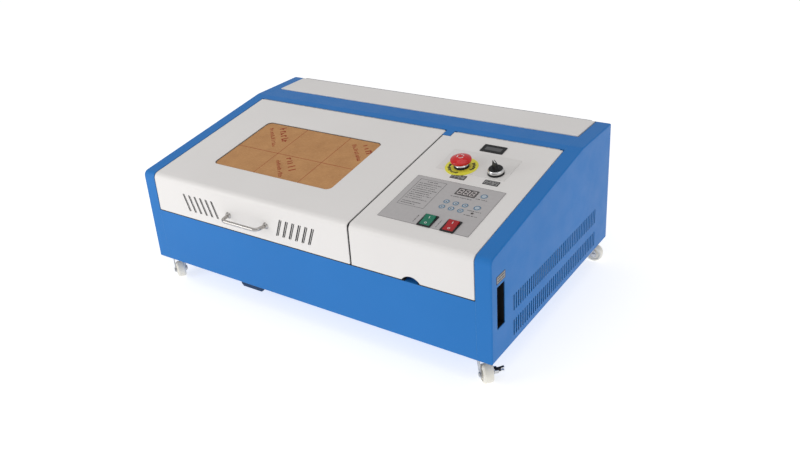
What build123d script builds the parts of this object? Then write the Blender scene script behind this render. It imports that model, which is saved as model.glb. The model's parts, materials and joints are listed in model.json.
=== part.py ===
from build123d import *

import os
from math import asin, atan2, cos, degrees, hypot, radians, sin

# Desktop carbon-dioxide laser engraver on four casters, millimetres.
# Origin: on the floor, below the middle of the whole machine. +X right, +Y back, +Z up.
# The front and the sloping top are covered by a hinged lid and a hinged control cover;
# a third cover over the tube bay closes the flat strip behind them.

# ---- Cabinet -------------------------------------------------------------------------
WIDTH = 800.0
DEPTH = 500.0
HEIGHT = 250.0
SHOULDER = 196.0          # height of the upright front, up to the slope
SLOPE_END_Y = 112.0       # where the slope meets the flat top
CASTER_HEIGHT = 48.0
SHEET = 1.5               # folded sheet steel
SHOULDER_RADIUS = 12.0
RIDGE_RADIUS = 25.0
CORNER_RADIUS = 2.5
BORDER = 29.5             # blue edge left at each side of the covers
GAP = 1.5                 # gap round each cover

FRONT = -DEPTH / 2
REAR = DEPTH / 2
SIDE = WIDTH / 2
BOTTOM = CASTER_HEIGHT
TOP = BOTTOM + HEIGHT
SHOULDER_Z = BOTTOM + SHOULDER
OPENING = SIDE - BORDER   # half width of the openings in the cabinet

RISE = HEIGHT - SHOULDER
RUN = SLOPE_END_Y - FRONT
SLOPE_LENGTH = hypot(RISE, RUN)
SLOPE_ANGLE = atan2(RISE, RUN)
SLOPE_COS = cos(SLOPE_ANGLE)
SLOPE_SIN = sin(SLOPE_ANGLE)

# ---- Covers --------------------------------------------------------------------------
COVER_DEPTH = 12.0        # depth of the folded edges
COVER_HALF = OPENING - GAP
SKIRT_Z = BOTTOM + 116.5  # lower edge of both front skirts
LEDGE_Z = SKIRT_Z - 2.0   # upper face of the step below the skirts
LID_RIGHT = 120.5
CONTROL_LEFT = 124.0
COVER_BACK = 345.0        # distance up the slope to the covers' back edge
NOTCH = 17.0              # square corner left out of the control cover
REAR_COVER_FRONT = 160.0
REAR_COVER_LIFT = 2.0
WALL_INSIDE = REAR - SHEET

# ---- Piano hinges --------------------------------------------------------------------
KNUCKLE_RADIUS = 1.9
KNUCKLE_GAP = 0.4
HINGE_OFFSET = 2.2        # pin axis to the face of each folded edge
LEAF = 0.8
LEAF_LENGTH = 10.0
PIN_RADIUS = 0.75
PIN_BORE = 0.8
HINGE_S = COVER_BACK + HINGE_OFFSET
BAND_START = HINGE_S + HINGE_OFFSET

# ---- Window, slots and handle --------------------------------------------------------
WINDOW_X = -125.0
WINDOW_S = 170.0
WINDOW_WIDTH = 300.0
WINDOW_LENGTH = 182.0
WINDOW_RADIUS = 12.0
PANE_THICKNESS = 3.0
PANE_LAP = 10.0
LID_CENTRE = -121.0
SLOT_COUNT = 6
SLOT_PITCH = 15.3
SLOT_WIDTH = 2.5
SLOT_LEAN = 12.0
SLOT_TOP = BOTTOM + 166.5
SLOT_FOOT = BOTTOM + 133.5
SLOT_NEAR = 89.0          # inner slot's top, from the lid's centre line
HANDLE_Z = BOTTOM + 147.0
HANDLE_HALF = 48.0
HANDLE_REACH = 26.5
HANDLE_RADIUS = 3.5

# ---- Control panel, (x, distance up the slope) ---------------------------------------
OVERLAY_BOX = (157.0, 43.0, 336.0, 181.5)
OVERLAY = 0.6
SMALL_KEYS = [(x, s) for s in (122.0, 105.5) for x in (250.7, 268.9, 287.2)]
LARGE_KEYS = [(305.0, 158.0), (310.5, 122.3)]
SMALL_KEY_RADIUS = 5.75
LARGE_KEY_RADIUS = 6.5
KEY_CLEARANCE = 0.35
ESTOP = (218.5, 234.0)
SELECTOR = (289.0, 234.0)
PANEL_HOLE_RADIUS = 11.0
METER = (245.7, 308.5)
METER_BEZEL = (47.3, 25.3)
METER_HEIGHT = 1.3
METER_SCREEN = (34.5, 12.4)
METER_HOLE = (44.0, 22.0)
RING_RADIUS = 31.0        # legend ring of the emergency stop
RING = 1.0
COLLAR_RADIUS = 14.6
COLLAR_TOP = 4.6
NECK_RADIUS = 12.6
NECK_TOP = 9.6
SELECTOR_RADIUS = 15.5
SELECTOR_FOOT = 4.0       # height of the black foot below the bright ring
SELECTOR_RING = (14.2, 10.0)
STEM_RADIUS = 6.0
NECK_FOOT = 30.0          # depth of each switch's neck below the panel
BLOCK_FOOT = 52.0         # depth of its contact block
BLOCK = (30.0, 40.0)
ROCKER_S = 59.5
ROCKER_X = (250.0, 295.0)
ROCKER_BEZEL = (26.4, 34.0)
ROCKER_RIM = 1.2          # height of the bezels above the overlay
ROCKER_HOLE = (20.2, 27.4)
ROCKER_CUTOUT = (23.4, 31.0)
ROCKER_CAP = (19.6, 26.2)
ROCKER_TILT = 8.0

# ---- Right side: port bay and louvres ------------------------------------------------
PORT_Y = (-232.0, -205.0)
PORT_Z = (BOTTOM + 58.5, BOTTOM + 139.0)
VENT_COUNT = 43
VENT_PITCH = 8.4
VENT_WIDTH = 4.0
VENT_HEIGHT = 31.0
VENT_Y = 5.0
VENT_ROWS = (BOTTOM + 78.0, BOTTOM + 28.5)

# ---- Inside --------------------------------------------------------------------------
PARTITION_X = (LID_RIGHT + CONTROL_LEFT) / 2
PARTITION_Y = 150.0
BAY_FRONT = FRONT + 15.0
BEAM_HEIGHT = 190.0
TUBE_Y = 205.0
TUBE_RADIUS = 25.0
TUBE_SPAN = (-300.0, 380.0)
CLAMP_X = (-235.0, 250.0)
RAIL_X = (-345.0, 85.0)
RAIL_Z = 150.0
RAIL_RADIUS = 4.0
RAIL_SPAN = (-200.0, 138.0)
RUNNING = 0.05
GANTRY_Y = 95.0
BEAM_Z = (RAIL_Z + 14.0, RAIL_Z + 34.0)
BEAM_DEPTH = 20.0
HEAD_X = -300.0
BED = (-140.0, -45.0)
BED_SIZE = (320.0, 220.0)
BED_TOP = 112.0
EXHAUST_X = -150.0
EXHAUST_Z = 105.0
EXHAUST_RADIUS = 48.0
EXHAUST_REACH = HANDLE_REACH
FAN_Y = 205.0

# ---- Scrap tray ----------------------------------------------------------------------
TRAY_X = -146.0
TRAY_WIDTH = 320.0
TRAY_Y = (-236.0, 40.0)
TRAY_FLOOR = 41.3
TRAY_TOP = BOTTOM - 0.4
TAB_WIDTH = 56.0
TAB_FOOT = 32.0
CHUTE = (TRAY_X, -95.0, 280.0, 190.0)

# ---- Casters -------------------------------------------------------------------------
CASTER_X = 370.5
CASTER_Y = 227.0
TRAIL = 14.0
WHEEL_RADIUS = 17.0
WHEEL_WIDTH = 18.0
AXLE_RADIUS = 3.0
FORK_INSIDE = 9.8
FORK_SHEET = 1.8
PLATE = 2.0
BRAKE_Z = 20.0
BRAKE_Y = 17.5
CASTERS = {
    "front_left": (-CASTER_X, -CASTER_Y, -36.0),
    "front_right": (CASTER_X, -CASTER_Y, -42.0),
    "rear_right": (CASTER_X, CASTER_Y, 12.0),
    "rear_left": (-CASTER_X, CASTER_Y, 138.0),
}
BRAKED = ("front_right", "rear_left")

# ---- Reference planes ----------------------------------------------------------------
SLOPE = Plane(origin=(0, FRONT, SHOULDER_Z), x_dir=(1, 0, 0), z_dir=(0, -SLOPE_SIN, SLOPE_COS))
FRONT_FACE = Plane(origin=(0, FRONT, 0), x_dir=(1, 0, 0), z_dir=(0, -1, 0))
REAR_FACE = Plane(origin=(0, REAR, 0), x_dir=(-1, 0, 0), z_dir=(0, 1, 0))

os.makedirs("parts", exist_ok=True)


def save(solid, name):
    """Label a finished piece and write it as its own STEP file."""
    solid.label = name
    export_step(solid, f"parts/{name}.step")


def on_slope(s, height=0.0):
    """(y, z) of a point s up the slope and height above its surface."""
    y = FRONT + s * SLOPE_COS - height * SLOPE_SIN
    z = SHOULDER_Z + s * SLOPE_SIN + height * SLOPE_COS
    return (y, z)


def shoulder(depth):
    """(y, z) of the shoulder corner, moved inwards by depth on both faces."""
    return on_slope(depth * (1 - SLOPE_SIN) / SLOPE_COS, -depth)


def bent_profile(outer, inner, foot, back):
    """Profile of a strip that climbs the front and the slope, between two depths."""
    return [
        (FRONT + outer, foot),
        shoulder(outer),
        on_slope(back, -outer),
        on_slope(back, -inner),
        shoulder(inner),
        (FRONT + inner, foot),
    ]


def box_between(low, high, mode=Mode.ADD):
    """Box between two corners, inside the current part block."""
    centre = [(a + b) / 2 for a, b in zip(low, high)]
    size = [b - a for a, b in zip(low, high)]
    with Locations(Location(tuple(centre))):
        Box(*size, mode=mode)


# ======================================================================================
# Cabinet: one folded shell, cut into the panels that it is welded from
# ======================================================================================
def cabinet_outline():
    """Corners of the cabinet's side profile."""
    return [
        (FRONT, BOTTOM),
        (FRONT, SHOULDER_Z),
        (SLOPE_END_Y, TOP),
        (REAR, TOP),
        (REAR, BOTTOM),
    ]


def rounded_outline():
    """The side profile with its folds, inside the current sketch."""
    Polygon(*cabinet_outline(), align=None)
    shoulder_corner = vertices().sort_by_distance((FRONT, SHOULDER_Z, 0))[0]
    fillet(shoulder_corner, radius=SHOULDER_RADIUS)
    ridge = vertices().sort_by_distance((SLOPE_END_Y, TOP, 0))[0]
    fillet(ridge, radius=RIDGE_RADIUS)
    rear_corners = vertices().group_by(Axis.X)[-1]
    fillet(rear_corners, radius=CORNER_RADIUS)


with BuildPart() as shell:
    with BuildSketch(Plane.YZ.offset(-SIDE)):
        rounded_outline()
    extrude(amount=WIDTH)
    rims = faces().filter_by(Axis.X).edges()
    fillet(rims, radius=CORNER_RADIUS)
    with BuildSketch(Plane.YZ.offset(-SIDE + SHEET)):
        rounded_outline()
        offset(amount=-SHEET)
    extrude(amount=WIDTH - 2 * SHEET, mode=Mode.SUBTRACT)
    # opening under the lid and the control cover
    with BuildSketch(Plane.YZ.offset(-OPENING)):
        Polygon(*bent_profile(-10, 10, LEDGE_Z, BAND_START), align=None)
    extrude(amount=2 * OPENING, mode=Mode.SUBTRACT)
    # opening under the rear cover
    box_between(
        (-OPENING, REAR_COVER_FRONT - GAP, TOP - 5),
        (OPENING, WALL_INSIDE, TOP + 5),
        mode=Mode.SUBTRACT,
    )


def panel(low, high):
    """The part of the shell inside one box."""
    with BuildPart() as piece:
        add(shell.part)
        box_between(low, high, mode=Mode.INTERSECT)
    return piece.part


def louvres(side, rows):
    """Upright louvre slots through one side panel."""
    with BuildPart() as cutter:
        for row in rows:
            with BuildSketch(Plane.YZ.offset(side * SIDE - 5)):
                with Locations((VENT_Y, row)):
                    with GridLocations(VENT_PITCH, VENT_PITCH, VENT_COUNT, 1):
                        Rectangle(VENT_WIDTH, VENT_HEIGHT)
            extrude(amount=10)
    return cutter.part


left_blank = panel((-SIDE - 1, FRONT - 1, BOTTOM - 1), (-OPENING, REAR + 1, TOP + 1))
left_louvres = louvres(-1, VENT_ROWS[1:])
with BuildPart() as left_side_panel:
    add(left_blank)
    add(left_louvres, mode=Mode.SUBTRACT)
save(left_side_panel.part, "left_side_panel")

right_blank = panel((OPENING, FRONT - 1, BOTTOM - 1), (SIDE + 1, REAR + 1, TOP + 1))
right_louvres = louvres(1, VENT_ROWS)
with BuildPart() as right_side_panel:
    add(right_blank)
    add(right_louvres, mode=Mode.SUBTRACT)
    box_between((SIDE - 5, PORT_Y[0], PORT_Z[0]), (SIDE + 5, PORT_Y[1], PORT_Z[1]), mode=Mode.SUBTRACT)
save(right_side_panel.part, "right_side_panel")

LIP_Y = FRONT + COVER_DEPTH + 1.5
LIP_TOP = SKIRT_Z + 17.5
LIP_SEAM = 0.05           # seam between the step and the strip behind it
front_blank = panel((-OPENING, FRONT - 1, BOTTOM - 1), (OPENING, BAY_FRONT, LEDGE_Z))
with BuildPart() as front_panel:
    add(front_blank)
    box_between((-OPENING, FRONT, LEDGE_Z - SHEET), (OPENING, LIP_Y, LEDGE_Z))
    # upright strip behind the step, a separate flat piece
    box_between(
        (-OPENING, LIP_Y + LIP_SEAM, LEDGE_Z - 3 * SHEET),
        (OPENING, LIP_Y + SHEET, LIP_TOP),
    )
save(front_panel.part, "front_panel")

base_blank = panel((-OPENING, BAY_FRONT, BOTTOM - 1), (OPENING, REAR - 10, BOTTOM + 5))
RAIL_INSIDE = TRAY_WIDTH / 2 + 0.5
RAIL_LIP = 8.0
with BuildPart() as base_plate:
    add(base_blank)
    with BuildSketch(Plane.XY.offset(BOTTOM - 1)):
        with Locations(CHUTE[:2]):
            Rectangle(*CHUTE[2:])
    extrude(amount=5, mode=Mode.SUBTRACT)
    # two folded runners that carry the scrap tray
    for side in (-1, 1):
        inner = TRAY_X + side * RAIL_INSIDE
        outer = inner + side * SHEET
        lip = inner - side * RAIL_LIP
        web = sorted((inner, outer))
        foot = sorted((lip, outer))
        box_between((web[0], TRAY_Y[0] + 4, TRAY_FLOOR - 2), (web[1], TRAY_Y[1] + 6, BOTTOM))
        box_between((foot[0], TRAY_Y[0] + 4, TRAY_FLOOR - 2), (foot[1], TRAY_Y[1] + 6, TRAY_FLOOR - 0.5))
save(base_plate.part, "base_plate")

rear_blank = panel((-OPENING, REAR - 10, BOTTOM - 1), (OPENING, REAR + 1, TOP + 1))
INLET = (300.0, 100.0)
INLET_SIZE = (28.0, 48.0)
GROMMETS = [(200.0, 110.0), (200.0, 85.0)]
GROMMET_RADIUS = 8.0
with BuildPart() as rear_panel:
    add(rear_blank)
    with BuildSketch(REAR_FACE.offset(2)):
        with Locations((-EXHAUST_X, EXHAUST_Z)):
            Circle(EXHAUST_RADIUS + 0.2)
        with Locations((-INLET[0], INLET[1])):
            Rectangle(*INLET_SIZE)
        with Locations(*[(-x, z) for x, z in GROMMETS]):
            Circle(GROMMET_RADIUS)
        with Locations((-40, EXHAUST_Z)):
            with GridLocations(VENT_PITCH, VENT_PITCH, 12, 1):
                Rectangle(VENT_WIDTH, VENT_HEIGHT * 2)
    extrude(amount=-15, mode=Mode.SUBTRACT)
save(rear_panel.part, "rear_panel")

band_blank = panel((-OPENING, 0, TOP - 40), (OPENING, REAR_COVER_FRONT - GAP, TOP + 1))
TAB_LEFT = LID_RIGHT + GAP
TAB_RIGHT = CONTROL_LEFT + NOTCH - GAP
TAB_FRONT = COVER_BACK - NOTCH + GAP
with BuildPart() as top_cross_band:
    add(band_blank)
    # folded edge that carries the two front hinges
    with BuildSketch(Plane.YZ.offset(-OPENING)):
        Polygon(
            on_slope(BAND_START, -0.2),
            on_slope(BAND_START + SHEET, -0.2),
            on_slope(BAND_START + SHEET, -COVER_DEPTH),
            on_slope(BAND_START, -COVER_DEPTH),
            align=None,
        )
    extrude(amount=2 * OPENING)
    # folded edge in front of the rear cover
    box_between(
        (-OPENING, REAR_COVER_FRONT - GAP - SHEET, TOP - COVER_DEPTH),
        (OPENING, REAR_COVER_FRONT - GAP, TOP - 0.2),
    )
    # square tab between the two front covers
    with BuildSketch(SLOPE.offset(-SHEET)):
        with Locations(((TAB_LEFT + TAB_RIGHT) / 2, (TAB_FRONT + BAND_START + 1) / 2)):
            Rectangle(TAB_RIGHT - TAB_LEFT, BAND_START + 1 - TAB_FRONT)
    extrude(amount=SHEET)
save(top_cross_band.part, "top_cross_band")


# ======================================================================================
# Partitions
# ======================================================================================
with BuildPart() as centre_partition:
    with BuildSketch(Plane.YZ.offset(PARTITION_X - SHEET / 2)):
        Polygon(
            (BAY_FRONT, BOTTOM + SHEET),
            (BAY_FRONT, shoulder(COVER_DEPTH + 1)[1]),
            on_slope(SLOPE_LENGTH, -COVER_DEPTH - 1),
            (PARTITION_Y, TOP - COVER_DEPTH - 1),
            (PARTITION_Y, BOTTOM + SHEET),
            align=None,
        )
    extrude(amount=SHEET)
    box_between(
        (PARTITION_X, BAY_FRONT, BOTTOM + SHEET),
        (PARTITION_X + 15, PARTITION_Y, BOTTOM + 2 * SHEET),
    )
    # cable pass-through
    with BuildSketch(Plane.YZ.offset(PARTITION_X - 5)):
        with Locations((60, BOTTOM + 40)):
            SlotOverall(50, 20)
    extrude(amount=10, mode=Mode.SUBTRACT)
save(centre_partition.part, "centre_partition")

with BuildPart() as rear_partition:
    box_between(
        (-OPENING, PARTITION_Y, BOTTOM + SHEET),
        (OPENING, PARTITION_Y + SHEET, TOP - COVER_DEPTH - 1),
    )
    with BuildSketch(Plane.XZ.offset(-PARTITION_Y - 5)):
        with Locations((EXHAUST_X, EXHAUST_Z)):
            Circle(EXHAUST_RADIUS - SHEET)
        with Locations((RAIL_X[0], BEAM_HEIGHT)):
            Circle(12)
    extrude(amount=10, mode=Mode.SUBTRACT)
save(rear_partition.part, "rear_partition")


# ======================================================================================
# Covers
# ======================================================================================
def outer_folds():
    """Side edges of the current cover that lie on its outer face."""
    side_edges = faces().filter_by(Axis.X).edges()
    tolerance = 0.5

    def is_outside(edge):
        point = edge.center()
        height = (point.Z - SHOULDER_Z) * SLOPE_COS - (point.Y - FRONT) * SLOPE_SIN
        return point.Y < FRONT + tolerance or height > -tolerance or near_shoulder(point)

    def near_shoulder(point):
        corner = shoulder(SHOULDER_RADIUS)
        reach = hypot(point.Y - corner[0], point.Z - corner[1])
        return abs(reach - SHOULDER_RADIUS) < 1.5 * tolerance

    return side_edges.filter_by(is_outside)


def front_cover(left, right):
    """Cover of folded sheet over the upright front and the slope, from left to right."""
    with BuildPart() as cover:
        with BuildSketch(Plane.YZ.offset(left)):
            Polygon(*bent_profile(0, COVER_DEPTH, SKIRT_Z, COVER_BACK), align=None)
            fold = vertices().sort_by_distance((FRONT, SHOULDER_Z, 0))[0]
            fillet(fold, radius=SHOULDER_RADIUS)
        extrude(amount=right - left)
        fillet(outer_folds(), radius=1.2)
    return cover.part


def front_cavity(left, right):
    """Hollow under a front cover, left open towards the inside of the machine."""
    far = COVER_DEPTH + 1
    with BuildPart() as cavity:
        with BuildSketch(Plane.YZ.offset(left + SHEET)):
            Polygon(
                *bent_profile(SHEET, far, SKIRT_Z + SHEET, COVER_BACK - SHEET),
                align=None,
            )
            fold = vertices().sort_by_distance((*shoulder(SHEET), 0))[0]
            fillet(fold, radius=SHOULDER_RADIUS - SHEET)
        extrude(amount=right - left - 2 * SHEET)
    return cavity.part


lid_blank = front_cover(-COVER_HALF, LID_RIGHT)
lid_cavity = front_cavity(-COVER_HALF, LID_RIGHT)
with BuildPart() as lid_shell:
    add(lid_blank)
    add(lid_cavity, mode=Mode.SUBTRACT)
    with BuildSketch(SLOPE.offset(-5)):
        with Locations((WINDOW_X, WINDOW_S)):
            RectangleRounded(WINDOW_WIDTH, WINDOW_LENGTH, WINDOW_RADIUS)
    extrude(amount=10, mode=Mode.SUBTRACT)
    # two mirrored groups of leaning air slots
    slot_length = hypot(SLOT_LEAN, SLOT_TOP - SLOT_FOOT) + SLOT_WIDTH
    slot_angle = degrees(atan2(SLOT_TOP - SLOT_FOOT, SLOT_LEAN))
    with BuildSketch(FRONT_FACE.offset(2)):
        for side in (-1, 1):
            for i in range(SLOT_COUNT):
                top_x = LID_CENTRE + side * (SLOT_NEAR + i * SLOT_PITCH)
                middle = (top_x - side * SLOT_LEAN / 2, (SLOT_TOP + SLOT_FOOT) / 2)
                with Locations(middle):
                    SlotOverall(slot_length, SLOT_WIDTH, rotation=side * slot_angle)
    extrude(amount=-6, mode=Mode.SUBTRACT)
    # screw holes for the handle
    with BuildSketch(FRONT_FACE.offset(2)):
        with Locations((LID_CENTRE - HANDLE_HALF, HANDLE_Z), (LID_CENTRE + HANDLE_HALF, HANDLE_Z)):
            Circle(2.2)
    extrude(amount=-6, mode=Mode.SUBTRACT)
save(lid_shell.part, "lid_shell")

with BuildPart() as lid_window:
    with BuildSketch(SLOPE.offset(-SHEET - PANE_THICKNESS)):
        with Locations((WINDOW_X, WINDOW_S)):
            RectangleRounded(WINDOW_WIDTH + 2 * PANE_LAP, WINDOW_LENGTH + 2 * PANE_LAP, 6)
    extrude(amount=PANE_THICKNESS)
save(lid_window.part, "lid_window")

with BuildPart() as lid_handle:
    reach = HANDLE_REACH - HANDLE_RADIUS
    left_foot = (LID_CENTRE - HANDLE_HALF, FRONT, HANDLE_Z)
    right_foot = (LID_CENTRE + HANDLE_HALF, FRONT, HANDLE_Z)
    with BuildLine() as bow:
        FilletPolyline(
            left_foot,
            (LID_CENTRE - HANDLE_HALF + 4, FRONT - reach, HANDLE_Z),
            (LID_CENTRE + HANDLE_HALF - 4, FRONT - reach, HANDLE_Z),
            right_foot,
            radius=11,
        )
    with BuildSketch(Plane(origin=bow.line @ 0, z_dir=bow.line % 0)):
        Circle(HANDLE_RADIUS)
    sweep(path=bow.line)
    # flared feet
    for foot in (left_foot, right_foot):
        with BuildSketch(Plane(origin=foot, x_dir=(1, 0, 0), z_dir=(0, -1, 0))):
            Circle(7)
        extrude(amount=4, taper=30)
    # the bow's ends are cut off flush with the skirt
    box_between((-SIDE, FRONT, BOTTOM), (SIDE, FRONT + 10, TOP), mode=Mode.SUBTRACT)
save(lid_handle.part, "lid_handle")

control_blank = front_cover(CONTROL_LEFT, COVER_HALF)
control_cavity = front_cavity(CONTROL_LEFT, COVER_HALF)
notch_depth = COVER_DEPTH + 5
with BuildPart() as notch_wall:
    with BuildSketch(SLOPE.offset(-notch_depth)):
        with Locations((CONTROL_LEFT + (NOTCH + SHEET) / 2, COVER_BACK - (NOTCH + SHEET) / 2)):
            Rectangle(NOTCH + SHEET, NOTCH + SHEET)
    extrude(amount=notch_depth - SHEET)
with BuildPart() as notched_cavity:
    add(control_cavity)
    add(notch_wall.part, mode=Mode.SUBTRACT)

FINGER_HALF = 18.5
FINGER_RISE = 9.5
FINGER_X = 247.5
FINGER_RADIUS = (FINGER_HALF**2 + FINGER_RISE**2) / (2 * FINGER_RISE)
with BuildPart() as control_cover:
    add(control_blank)
    add(notched_cavity.part, mode=Mode.SUBTRACT)
    with BuildSketch(SLOPE.offset(-notch_depth)):
        with Locations((CONTROL_LEFT + NOTCH / 2 - 1, COVER_BACK - NOTCH / 2 + 1)):
            Rectangle(NOTCH + 2, NOTCH + 2)
    extrude(amount=notch_depth + 5, mode=Mode.SUBTRACT)
    # holes for what the panel carries
    with BuildSketch(SLOPE.offset(-5)):
        with Locations(*SMALL_KEYS):
            Circle(SMALL_KEY_RADIUS + KEY_CLEARANCE)
        with Locations(*LARGE_KEYS):
            Circle(LARGE_KEY_RADIUS + KEY_CLEARANCE)
        with Locations(ESTOP, SELECTOR):
            Circle(PANEL_HOLE_RADIUS)
        with Locations(METER):
            Rectangle(*METER_HOLE)
        with Locations(*[(x, ROCKER_S) for x in ROCKER_X]):
            Rectangle(*ROCKER_CUTOUT)
    extrude(amount=10, mode=Mode.SUBTRACT)
    # finger notch in the skirt
    with BuildSketch(FRONT_FACE.offset(2)):
        with Locations((FINGER_X, SKIRT_Z + FINGER_RISE - FINGER_RADIUS)):
            Circle(FINGER_RADIUS)
    extrude(amount=-COVER_DEPTH - 4, mode=Mode.SUBTRACT)
save(control_cover.part, "control_cover")

HINGE_TOP = TOP + REAR_COVER_LIFT
REAR_AXIS_Y = WALL_INSIDE - HINGE_OFFSET
REAR_COVER_BACK = REAR_AXIS_Y - HINGE_OFFSET
with BuildPart() as rear_cover:
    box_between(
        (-COVER_HALF, REAR_COVER_FRONT, HINGE_TOP - COVER_DEPTH),
        (COVER_HALF, REAR_COVER_BACK, HINGE_TOP),
    )
    top_edges = edges().group_by(Axis.Z)[-1]
    fillet(top_edges, radius=1.2)
    box_between(
        (-COVER_HALF + SHEET, REAR_COVER_FRONT + SHEET, HINGE_TOP - COVER_DEPTH - 1),
        (COVER_HALF - SHEET, REAR_COVER_BACK - SHEET, HINGE_TOP - SHEET),
        mode=Mode.SUBTRACT,
    )
save(rear_cover.part, "rear_cover")


# ======================================================================================
# Piano hinges. In the hinge plane x runs from the moving to the fixed leaf, y outwards
# ======================================================================================
FRONT_AXIS = on_slope(HINGE_S, -KNUCKLE_RADIUS)
REAR_AXIS = (REAR_AXIS_Y, HINGE_TOP - KNUCKLE_RADIUS)
SLOPE_HINGE = Plane(
    origin=(0, *FRONT_AXIS), x_dir=(0, SLOPE_COS, SLOPE_SIN), z_dir=(1, 0, 0)
)
REAR_HINGE = Plane(origin=(0, *REAR_AXIS), x_dir=(0, 1, 0), z_dir=(1, 0, 0))
HINGES = {
    "lid": (SLOPE_HINGE, -363.0, 117.0, 20),
    "control": (SLOPE_HINGE, 146.0, 362.0, 9),
    "rear": (REAR_HINGE, -362.0, 362.0, 30),
}


def hinge_half(hinge, side, first):
    """One leaf with every second knuckle; side is +1 for the fixed leaf."""
    plane, start, end, count = hinge
    pitch = (end - start) / count
    leaf_x = side * (HINGE_OFFSET - LEAF / 2)
    with BuildPart() as half:
        with BuildSketch(plane.offset(start)):
            with Locations((leaf_x, -(LEAF_LENGTH + HINGE_OFFSET) / 2)):
                Rectangle(LEAF, LEAF_LENGTH - HINGE_OFFSET)
        extrude(amount=end - start)
        for i in range(first, count, 2):
            with BuildSketch(plane.offset(start + i * pitch + KNUCKLE_GAP / 2)):
                Circle(KNUCKLE_RADIUS)
                with Locations((leaf_x, -HINGE_OFFSET / 2)):
                    Rectangle(LEAF, HINGE_OFFSET + 0.4)
            extrude(amount=pitch - KNUCKLE_GAP)
        with BuildSketch(plane.offset(start - 1)):
            Circle(PIN_BORE)
        extrude(amount=end - start + 2, mode=Mode.SUBTRACT)
    return half.part


def hinge_pin(hinge):
    """Pin of one hinge, as long as its leaves."""
    plane, start, end, _ = hinge
    with BuildPart() as pin:
        with BuildSketch(plane.offset(start)):
            Circle(PIN_RADIUS)
        extrude(amount=end - start)
    return pin.part


# the three fixed leaves with their pins, as separate solids
fixed_pieces = [hinge_half(hinge, 1, 0) for hinge in HINGES.values()]
fixed_pieces += [hinge_pin(hinge) for hinge in HINGES.values()]
with BuildPart() as hinge_fixed_halves:
    for piece in fixed_pieces:
        add(piece)
save(hinge_fixed_halves.part, "hinge_fixed_halves")

for cover_name, hinge in HINGES.items():
    save(hinge_half(hinge, -1, 1), f"{cover_name}_hinge_leaf")


# ======================================================================================
# Control panel
# ======================================================================================
with BuildPart() as control_overlay:
    left, foot, right, head = OVERLAY_BOX
    with BuildSketch(SLOPE):
        with Locations(((left + right) / 2, (foot + head) / 2)):
            RectangleRounded(right - left, head - foot, 2)
        with Locations(*SMALL_KEYS):
            Circle(SMALL_KEY_RADIUS + KEY_CLEARANCE, mode=Mode.SUBTRACT)
        with Locations(*LARGE_KEYS):
            Circle(LARGE_KEY_RADIUS + KEY_CLEARANCE, mode=Mode.SUBTRACT)
        with Locations(*[(x, ROCKER_S) for x in ROCKER_X]):
            Rectangle(*ROCKER_CUTOUT, mode=Mode.SUBTRACT)
    extrude(amount=OVERLAY)
save(control_overlay.part, "control_overlay")


def key(centre, radius):
    """Low round key that stands a little above the overlay."""
    with BuildPart() as cap:
        with BuildSketch(SLOPE.offset(-3)):
            with Locations(centre):
                Circle(radius)
        extrude(amount=4.1)
        rim = edges().filter_by(GeomType.CIRCLE).sort_by(Axis.Z)[-1]
        fillet(rim, radius=0.35)
    return cap.part


for number, centre in enumerate(SMALL_KEYS, start=1):
    save(key(centre, SMALL_KEY_RADIUS), f"key_{number}")
for number, centre in enumerate(LARGE_KEYS, start=len(SMALL_KEYS) + 1):
    save(key(centre, LARGE_KEY_RADIUS), f"key_{number}")

# Rocker switches: two frames with a closed box below, and two caps that rock in them
ROCKER_BASE = -18.0
with BuildPart() as rocker_bezels:
    for x in ROCKER_X:
        with BuildSketch(SLOPE.offset(OVERLAY)):
            with Locations((x, ROCKER_S)):
                RectangleRounded(*ROCKER_BEZEL, 1.5)
        extrude(amount=ROCKER_RIM)
        with BuildSketch(SLOPE.offset(ROCKER_BASE)):
            with Locations((x, ROCKER_S)):
                Rectangle(ROCKER_CUTOUT[0] - 0.4, ROCKER_CUTOUT[1] - 0.4)
        extrude(amount=OVERLAY - ROCKER_BASE)
    for x in ROCKER_X:
        with BuildSketch(SLOPE.offset(ROCKER_BASE + 2)):
            with Locations((x, ROCKER_S)):
                Rectangle(*ROCKER_HOLE)
        extrude(amount=30, mode=Mode.SUBTRACT)
save(rocker_bezels.part, "rocker_bezels")


def rocker_cap(x):
    """Cap with a shallow valley, tipped so that its far half stands up."""
    tilt = radians(ROCKER_TILT)
    pivot = on_slope(ROCKER_S, 0)
    half = ROCKER_CAP[1] / 2
    outline = [(-half, 3.6), (0, 2.2), (half, 3.6), (half, -4), (-half, -4)]
    tipped = []
    for s, height in outline:
        run = s * cos(tilt) - height * sin(tilt)
        rise = s * sin(tilt) + height * cos(tilt)
        y = pivot[0] + run * SLOPE_COS - rise * SLOPE_SIN
        z = pivot[1] + run * SLOPE_SIN + rise * SLOPE_COS
        tipped.append((y, z))
    with BuildPart() as cap:
        with BuildSketch(Plane.YZ.offset(x - ROCKER_CAP[0] / 2)):
            Polygon(*tipped, align=None)
        extrude(amount=ROCKER_CAP[0])
    return cap.part


save(rocker_cap(ROCKER_X[0]), "green_rocker")
save(rocker_cap(ROCKER_X[1]), "red_rocker")

# Emergency stop: legend ring, collar with its contact block, stem, mushroom head
with BuildPart() as estop_ring:
    with BuildSketch(SLOPE):
        with Locations(ESTOP):
            Circle(RING_RADIUS)
            Circle(PANEL_HOLE_RADIUS, mode=Mode.SUBTRACT)
    extrude(amount=RING)
save(estop_ring.part, "estop_ring")

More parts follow.
